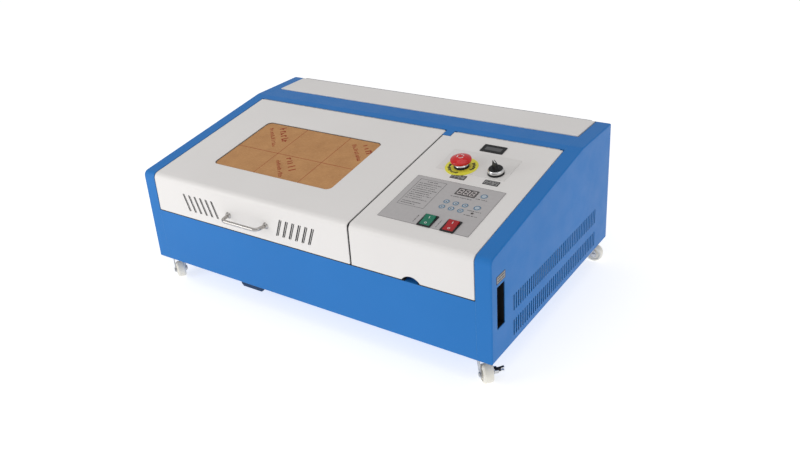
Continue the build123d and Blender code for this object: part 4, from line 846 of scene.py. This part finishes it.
def window_print():
    """Painted shade in the dark gap round the lid's window, and ruled lines and generic marks on its brown paper.
    """
    left, foot, right, head, top = panel_box("lid_window")
    inset = (right - left - WINDOW_OPENING[0]) / 2
    left, right, foot, head = left + inset, right - inset, foot + inset, head - inset
    width, length = right - left, head - foot
    middle_x, middle_s = (left + right) / 2, (foot + head) / 2
    outer = moved(rounded(width, length, 12.0, 8), middle_x, middle_s)
    inner = rounded(width - 2 * GAP_SHADE_WIDTH, length - 2 * GAP_SHADE_WIDTH, 10.8, 8)
    inner = moved(inner, middle_x + GAP_SHADE_SHIFT, middle_s - GAP_SHADE_SHIFT)
    # dark ring painted as the shade of the lid's cut edge round the pane
    bm = bmesh.new()
    levels = ((outer, top), (outer, top + 0.08), (inner, top + 0.08), (inner, top))
    skin(bm, [ring(bm, points, h, SHEET) for points, h in levels], closed=True)
    finish(bm, "window_gap_shade", "lid", DARK_INK_AND_SHADE)
    bm = bmesh.new()
    rules = [((left, RULE_S), (right, RULE_S))] + [((x, foot), (x, head)) for x in RULE_XS]
    for a, b in rules:
        prism(bm, bar(a, b, RULE_WIDTH), top, top + FILM_INK, SHEET)
    rng = random.Random(19)
    for x, s, small, large in FILM_PLACES:
        line = on_panel(x, s, 0, FILM_SLANT)
        strokes(bm, rng, -small, small, SMALL_STROKES, top, line)
        line = on_panel(x + LINE_SHIFT, s + LINE_SHIFT, 0, FILM_SLANT)
        strokes(bm, rng, -large, -WORD_GAP, LARGE_STROKES, top, line)
        strokes(bm, rng, WORD_GAP, large, LARGE_STROKES, top, line)
    finish(bm, "window_print", "lid", INK_RED)


def side_label():
    """Grey label plate above the port bay, with a dark rim and dark print."""
    low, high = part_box("port_recess")
    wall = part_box("right_side_panel")[1].x
    centre = Vector((wall, (low.y + high.y) / 2 + 0.5 * MM, high.z + 11 * MM))
    place = placed(Y_AXIS, X_AXIS, centre)
    label_top = 0.28
    single("port_label_rim", "cabinet", "black_plastic", DARK_INK_AND_SHADE, prism,
           rounded(31, 14.5, 0.8), -0.1, 0.2, place, 0.1)
    single("port_label", "cabinet", "overlay_grey", PLATE_GREY, prism,
           rounded(28.6, 12.2, 0.5), 0.0, label_top, place)
    bm = bmesh.new()
    rng = random.Random(5)
    for y in LABEL_LINES:
        caption(bm, rng, (-11.5, y), (11.5, y), 2.0, label_top, place)
    finish(bm, "port_label_print", "cabinet", DARK_INK_AND_SHADE)


def brake_tips():
    """Bright steel sleeves on the two prongs of each caster's brake lever."""
    root_y, tip_y = PRONG_SPAN
    for corner in ("front_right", "rear_left"):
        hinge = JOINTS[f"{corner}_brake_tilt"]
        out = Vector(hinge["axis"]).cross(Z_AXIS)
        place = placed(out, -Vector(hinge["axis"]), Vector(hinge["pos_m"]))
        bm = bmesh.new()
        for root, tip in PRONGS:
            sleeve = [(root_y, root[0]), (tip_y, tip[0]), (tip_y, tip[1]), (root_y, root[1])]
            prism(bm, sleeve, -PRONG_HALF, PRONG_HALF, place)
        finish(bm, f"{corner}_brake_tips", f"{corner}_caster_brake", ZINC)


# ---- Front and inside, in millimetres ----
WORLD = Matrix.Scale(MM, 4)
ALONG_X = placed(Y_AXIS, X_AXIS, Vector((0, 0, 0)))  # outline in (y, z), height along x
ALONG_Y = placed(X_AXIS, -Y_AXIS, Vector((0, 0, 0)))  # outline in (x, z), height along -y
DIAGONAL = math.sqrt(0.5)

VENT_SLOTS, VENT_FIRST, VENT_PITCH = 6, 89.0, 15.3  # on each side of the skirt's middle
VENT_SHADE_WIDTH, VENT_RUN = 2.7, 12.6  # width of the painted shade in a slot, and a slot's sideways lean
VENT_LOW, VENT_HIGH = 15.7, 51.3  # above the skirt's lower edge
BELT_RADIUS, PULLEY_RADIUS = 6.0, 5.9
X_BELT_Z, Y_BELT_Z = 175.0, 150.0
MOTOR_HALF = 13.5
Y_MOTOR = (128.0, 125.0)  # (y, z) of its shaft
COIL_TURNS, COIL_STEPS, COIL_RADIUS = 30, 8, 15
BEND_ROUNDS = 3  # passes that round a lead's bends


def node_box(node):
    """Low and high corners of a node's box, in millimetres."""
    low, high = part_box(node)
    return low / MM, high / MM


def slab(bm, low, high, bevel=0.4):
    """Upright block between two corners, its top edge chamfered."""
    size = (high[0] - low[0], high[1] - low[1])
    middle = ((low[0] + high[0]) / 2, (low[1] + high[1]) / 2)
    points = moved(rounded(*size, min(1.0, min(size) / 4), 3), *middle)
    prism(bm, points, low[2], high[2], WORLD, bevel)


def disc(bm, place, centre, radius, low, high, bevel=0.3):
    """Short cylinder in a local frame."""
    profile = [(0, low), (radius, low), (radius, high - bevel), (radius - bevel, high), (0, high)]
    lathe(bm, profile, place @ Matrix.Translation((centre[0], centre[1], 0)), 40)


def belt(bm, place, a, b, radius, low, high, thick=1.1):
    """Closed belt round two equal pulleys centred on a and b, in a local frame."""
    a, b = Vector(a), Vector(b)
    start = math.atan2((b - a).y, (b - a).x)
    steps = 16
    loops = []
    for r in (radius, radius + thick):
        points = []
        for centre, first in ((b, start - math.pi / 2), (a, start + math.pi / 2)):
            points += [polar(r, first + math.pi * i / steps, centre) for i in range(steps + 1)]
        loops.append(points)
    inner, outer = loops
    levels = ((inner, low), (inner, high), (outer, high), (outer, low))
    skin(bm, [ring(bm, points, h, place) for points, h in levels], closed=True)


def wire(bm, points, radius, steps=10):
    """Round lead through a few points, with its bends rounded."""
    path = [Vector(p) for p in points]
    for _ in range(BEND_ROUNDS):
        finer = [path[0]]
        for p, q in zip(path, path[1:]):
            finer += [p.lerp(q, 0.25), p.lerp(q, 0.75)]
        path = finer + [path[-1]]
    rings = []
    for i, p in enumerate(path):
        along = (path[min(i + 1, len(path) - 1)] - path[max(i - 1, 0)]).normalized()
        side = along.cross(Z_AXIS if abs(along.z) < 0.9 else X_AXIS).normalized()
        up = side.cross(along)
        section = circle(radius, steps)
        rings.append([bm.verts.new((p + side * x + up * y) * MM) for x, y in section])
    skin(bm, rings)


def motor(name, body, low, high, axis_place, centre, reach):
    """Square stepper motor: dark body, and a bright flange and shaft from reach[0] on."""
    dark, bright = bmesh.new(), bmesh.new()
    slab(dark, low, high)
    finish(dark, f"{name}_body", body, BLACK)
    disc(bright, axis_place, centre, 9.0, reach[0], reach[0] + 1.5)
    disc(bright, axis_place, centre, 2.5, reach[0], reach[1])
    finish(bright, f"{name}_shaft", body, ZINC)


def vent_slot_shade():
    """Dark backing behind the slots in the lid's front skirt and dark bars filling them: painted shade inside the
    slots.
    """
    low, high = node_box("lid_shell")
    centre = (low.x + high.x) / 2
    # painted shade: a dark backing behind each row of slots and dark bars that fill the slots
    bm = bmesh.new()
    for side in (-1, 1):
        near, far = sorted((centre + side * 72, centre + side * 171))
        slab(bm, (near, low.y + 1.6, low.z + 14.5), (far, low.y + 2.8, low.z + 53.5), 0.2)
        for i in range(VENT_SLOTS):
            x = centre + side * (VENT_FIRST + i * VENT_PITCH)
            head, foot = (x, low.z + VENT_HIGH), (x - side * VENT_RUN, low.z + VENT_LOW)
            prism(bm, bar(head, foot, VENT_SHADE_WIDTH), -(low.y + 1.7), -(low.y - 0.05), ALONG_Y)
    finish(bm, "vent_slot_shade", "lid", RUBBER_AND_SHADE)


def step_gap_shade():
    """Dark strips on the step below the skirts, beside the finger notch, and between the covers: painted shade in
    the gaps there.
    """
    lid_low, lid_high = node_box("lid_shell")
    cover_low, cover_high = node_box("control_cover")
    notch_left, notch_right = 234.0, 261.0
    front, low = lid_low.y, lid_low.z - 2.0
    # painted shade: dark strips in the gaps below the skirts and in the seam between the covers
    bm = bmesh.new()
    for left, right in ((lid_low.x, notch_left), (notch_right, cover_high.x)):
        slab(bm, (left, front + 0.1, low), (right, front + 9, low + 1.85), 0.1)
    seam, half = (lid_high.x + cover_low.x) / 2, 1.3
    prism(bm, bar((seam, 4), (seam, 326), 2 * half), -3.6, -1.8, SHEET)
    upright_low = (seam - half, front + 1.0, lid_low.z + 1)
    slab(bm, upright_low, (seam + half, front + 4, lid_low.z + 77), 0.1)
    finish(bm, "step_gap_shade", "cabinet", RUBBER_AND_SHADE)


def tray_tab_shade():
    """Dark navy piece on the scrap tray's tab, its lower corners cut: painted shade on the tab's blue paint."""
    low, high = node_box("scrap_tray")
    middle, foot, top = (low.x + high.x) / 2, low.z - 2.5, low.z + 8.5
    half, cut = 29.5, 5.0
    right_side = [(half - cut, foot), (half, foot + cut), (half, top)]
    left_side = [(-x, z) for x, z in reversed(right_side)]
    tab_shade_outline = moved(left_side + right_side, middle, 0)
    single("tray_tab_shade", "scrap_tray", "blue_paint", TAB_SHADE, prism,
           tab_shade_outline, -(low.y + 3.0), -(low.y - 2.0), ALONG_Y, 0.5)


def gantry_drive():
    """Belt, pulleys and motor that pull the laser head along the beam."""
    low, high = node_box("gantry_beam")
    left, right, back, z = low.x + 14, high.x - 14, high.y, X_BELT_Z
    single("x_belt", "gantry", "black_plastic", RUBBER_AND_SHADE, belt,
           ALONG_Y, (left, z), (right, z), BELT_RADIUS, -back + 0.4, -back + 5.0)
    bm = bmesh.new()
    for x in (left, right):
        disc(bm, ALONG_Y, (x, z), PULLEY_RADIUS, -back + 0.2, -back + 5.2)
        slab(bm, (x - 13, back, 158.6), (x + 13, back + 2, 189))
    finish(bm, "x_pulleys", "gantry", ZINC)
    body_low = (left - MOTOR_HALF, back + 2, z - MOTOR_HALF)
    body_high = (left + MOTOR_HALF, back + 27, z + MOTOR_HALF)
    motor("x_motor", "gantry", body_low, body_high, ALONG_Y, (left, z), (-back - 2, -back + 5.4))
    bm = bmesh.new()
    for x, side in ((low.x, -1), (high.x, 1)):
        inner, outer = sorted((x + side * 0.1, x + side * 7.6))
        slab(bm, (inner, back - 30, 158.2), (outer, back - 10, 162))
    finish(bm, "y_belt_clamps", "gantry", ALUMINIUM)


def rail_drive():
    """Belts beside both rails, their pulleys and cross shaft, and the motor that turns them."""
    low, high = node_box("gantry_beam")
    rails_low, rails_high = node_box("guide_rails")
    front, back = (rails_low.y + 4, Y_BELT_Z), (rails_high.y + 4, Y_BELT_Z)
    belts, metal = bmesh.new(), bmesh.new()
    for side, edge in ((-1, low.x), (1, high.x)):
        inner, outer = sorted((edge + side * 2, edge + side * 7))
        belt(belts, ALONG_X, front, back, BELT_RADIUS, inner, outer)
        for centre in (front, back):
            disc(metal, ALONG_X, centre, PULLEY_RADIUS, inner - 0.3, outer + 0.3)
        stub = sorted((edge + side * 2, edge - side * 6))
        disc(metal, ALONG_X, front, 2.0, *stub, 0.1)
    disc(metal, ALONG_X, back, 3.0, low.x - 8, high.x + 8)
    drive_low, drive_high = 10.0, 15.0
    belt(belts, ALONG_X, Y_MOTOR, back, 5.0, drive_low, drive_high, 0.9)
    for centre in (Y_MOTOR, back):
        disc(metal, ALONG_X, centre, 4.9, drive_low - 0.3, drive_high + 0.3)
    slab(metal, (6.0, 112, 109), (8.0, 149.9, 157.5))
    finish(belts, "y_belts", "cabinet", RUBBER_AND_SHADE)
    finish(metal, "y_shaft", "cabinet", ZINC)
    y, z = Y_MOTOR
    body_low = (-26, y - MOTOR_HALF, z - MOTOR_HALF)
    body_high = (6, y + MOTOR_HALF, z + MOTOR_HALF)
    motor("y_motor", "cabinet", body_low, body_high, ALONG_X, Y_MOTOR, (8.0, 15.4))


def mirror(name, body, centre, turn, post):
    """Gold-faced mirror disc on a bright plate, with the post that carries it."""
    plate, face = bmesh.new(), bmesh.new()
    place = placed(Z_AXIS, turn, Vector(centre) * MM)
    prism(plate, rounded(24, 24, 2.0), -6, -2, place, 0.4)
    disc(plate, place, (0, 0), 10.5, -2, 0.0)
    for x, y in ((-9, -9), (9, -9), (9, 9)):
        disc(plate, place, (x, y), 1.6, -9, -6)
    slab(plate, *post)
    finish(plate, f"{name}_mount", body, ALUMINIUM)
    disc(face, place, (0, 0), 8.5, 0.0, 0.6)
    finish(face, f"{name}_face", body, BRASS)


def mirrors():
    """The three mirrors that lead the beam from the tube to the lens."""
    tube_low, tube_high = node_box("laser_tube")
    head_low, head_high = node_box("laser_head")
    tube_y, z = (tube_low.y + tube_high.y) / 2, (tube_low.z + tube_high.z) / 2
    x = node_box("gantry_beam")[0].x + 14
    lens_y = head_low.y + 13
    mirror("first_mirror", "cabinet", (x, tube_y, z), Vector((DIAGONAL, -DIAGONAL, 0)),
           ((x - 11, tube_y + 1, 49.5), (x - 3, tube_y + 9, z - 12)))
    mirror("second_mirror", "gantry", (x, lens_y, z + 3), Vector((DIAGONAL, DIAGONAL, 0)),
           ((x - 13, lens_y - 13, 176.5), (x + 13, 84.9, 180.5)))
    x, z = (head_low.x + head_high.x) / 2, head_high.z
    mirror("third_mirror", "laser_head", (x, lens_y, z + 9), Vector((-DIAGONAL, 0, -DIAGONAL)),
           ((x + 8, lens_y - 11, z), (x + 11, lens_y + 11, z + 6)))


def tube_trim():
    """Electrodes, end sleeves and the coiled return inside the glass of the laser tube."""
    low, high = node_box("laser_tube")
    y, z = (low.y + high.y) / 2, (low.z + high.z) / 2
    bm = bmesh.new()
    for a, b, r in ((low.x + 24, low.x + 66, 11), (high.x - 66, high.x - 24, 11),
                    (low.x, low.x + 12, 9.8), (high.x - 12, high.x - 0.5, 9.8)):
        disc(bm, ALONG_X, (y, z), r, a, b)
    finish(bm, "tube_electrodes", "cabinet", ALUMINIUM)
    single("tube_bore", "cabinet", "overlay_grey", INK_PALE, disc,
           ALONG_X, (y, z), 6.0, low.x + 66, high.x - 66)
    start, reach = low.x + 75, high.x - low.x - 150
    count = COIL_TURNS * COIL_STEPS
    coil = []
    for i in range(count + 1):
        round_axis = polar(COIL_RADIUS, i * 2 * math.pi / COIL_STEPS, (y, z))
        coil.append((start + reach * i / count, *round_axis))
    single("tube_return_coil", "cabinet", "overlay_grey", INK_PALE, wire, coil, 1.6, 6)


def wiring():
    """Fixed leads and a flat cable between the ports, the controller board, the partition
    and the power supply."""
    port_low, port_high = node_box("port_recess")
    board_low, board_high = node_box("controller_board")
    supply_y = node_box("power_supply")[0].y
    port_x, port_y = port_low.x, (port_low.y + port_high.y) / 2
    board_top = 63
    bm = bmesh.new()
    for z, y in ((128, board_high.y - 20), (165, board_high.y - 34)):
        wire(bm, [(port_x, port_y, z), (port_x - 22, port_y, z), (port_x - 30, y, 90),
                  (board_high.x - 4, y, 76), (board_high.x - 16, y, board_top)], 2.0)
    for shift in (70, 78, 86):
        x = board_low.x + shift
        wire(bm, [(x, supply_y, 80), (x, supply_y - 22, 82), (x, board_high.y + 6, 72),
                  (x, board_high.y - 10, board_top)], 1.5)
    finish(bm, "wiring", "cabinet", RUBBER_AND_SHADE)
    wall = node_box("centre_partition")[1].x
    profile = [(wall - 14, 190), (wall - 14, 96), (wall - 8, 80), (board_low.x - 2, 70),
               (board_low.x + 14, board_top)]
    thick = 0.9
    section = ((-150, 0), (-126, 0), (-126, thick), (-150, thick))
    bm = bmesh.new()
    skin(bm, [
        [bm.verts.new(Vector((x, y, z + dz)) * MM) for y, dz in section] for x, z in profile
    ])
    finish(bm, "flat_cable", "cabinet", PLATE_GREY)


# ---- Stage, in metres ----
FLOOR_HALF = 6.0
FLOOR_GLOW = 1.08
SURROUND = (0.99, 0.99, 1.0, 1)
SURROUND_STRENGTH = 0.56
LIGHTS = (  # name, place, aim, size, watts
    ("front_light", (-1.4, -1.8, 0.8), (-0.2, 0, 0.15), 1.3, 15),
    ("right_light", (2.7, -0.6, 0.9), (0.2, 0, 0.15), 1.8, 6),
    ("top_light", (0.1, -0.2, 3.0), (0, 0, 0.2), 2.2, 12),
)

# the camera that was fitted to the cabinet's corners; angles in degrees, lens in millimetres
AZIMUTH, ELEVATION, ROLL = 36.8, 25.0, -4.6
DISTANCE, AIM_HEIGHT = 1.7319, 0.173
LENS, SENSOR = 38.03, 36.0
SHIFT_X, SHIFT_Y = 0.0319, -0.0528


def floor():
    """Plain pale floor, wide enough to fill the view behind."""
    bm = bmesh.new()
    bm.faces.new(ring(bm, [(x * FLOOR_HALF, y * FLOOR_HALF)
                           for x, y in ((-1, -1), (1, -1), (1, 1), (-1, 1))], 0, Matrix()))
    mesh = bpy.data.meshes.new("floor")
    bm.to_mesh(mesh)
    bm.free()
    s = Shader("pale_floor", Roughness=0.9, Specular_IOR_Level=0.1, Emission_Strength=FLOOR_GLOW)
    paper = s.mix(s.noise(1.5, 2.0), (0.59, 0.59, 0.59), (0.62, 0.62, 0.62))
    s.colour(paper)
    s.link(paper, s.surface.inputs["Emission Color"])
    mesh.materials.append(s.material)
    sheet = add_object("floor", mesh)


def area_light(name, place, aim, size, watts):
    """Square soft light that faces its aim."""
    light = bpy.data.lights.new(name, "AREA")
    light.shape = "SQUARE"
    light.size = size
    light.energy = watts
    lamp = add_object(name, light)
    lamp.location = place
    lamp.rotation_euler = (Vector(aim) - Vector(place)).to_track_quat("-Z", "Y").to_euler()


def lighting():
    """Soft white studio light: an even surround, a large low front light, a fill from the
    right and a wide one overhead."""
    world = bpy.data.worlds.new("studio")
    world.use_nodes = True
    background = world.node_tree.nodes["Background"]
    background.inputs["Color"].default_value = SURROUND
    background.inputs["Strength"].default_value = SURROUND_STRENGTH
    bpy.context.scene.world = world
    for light in LIGHTS:
        area_light(*light)
    bpy.context.scene.view_settings.view_transform = "Standard"


def camera():
    """Camera at the photograph's viewing angle, with its slight roll and off-centre axis."""
    low, high = cad_box
    target = Vector(((low.x + high.x) / 2, (low.y + high.y) / 2, AIM_HEIGHT))
    turn = Matrix()
    for angle, axis in ((AZIMUTH, "Z"), (90 - ELEVATION, "X"), (ROLL, "Z")):
        turn = turn @ Matrix.Rotation(math.radians(angle), 4, axis)
    data = bpy.data.cameras.new("camera")
    data.sensor_width = SENSOR
    data.lens = LENS
    data.shift_x = SHIFT_X
    data.shift_y = SHIFT_Y
    data.clip_end = 50.0
    eye = add_object("camera", data)
    eye.matrix_world = Matrix.Translation(target) @ turn @ Matrix.Translation((0, 0, DISTANCE))
    bpy.context.scene.camera = eye


dress_frame()
overlay_print()
display()
key_marks()
rocker_marks()
panel_labels()
estop_trim()
selector_trim()
meter_screen()
window_print()
side_label()
brake_tips()
vent_slot_shade()
step_gap_shade()
tray_tab_shade()
gantry_drive()
rail_drive()
mirrors()
tube_trim()
wiring()
floor()
lighting()
camera()
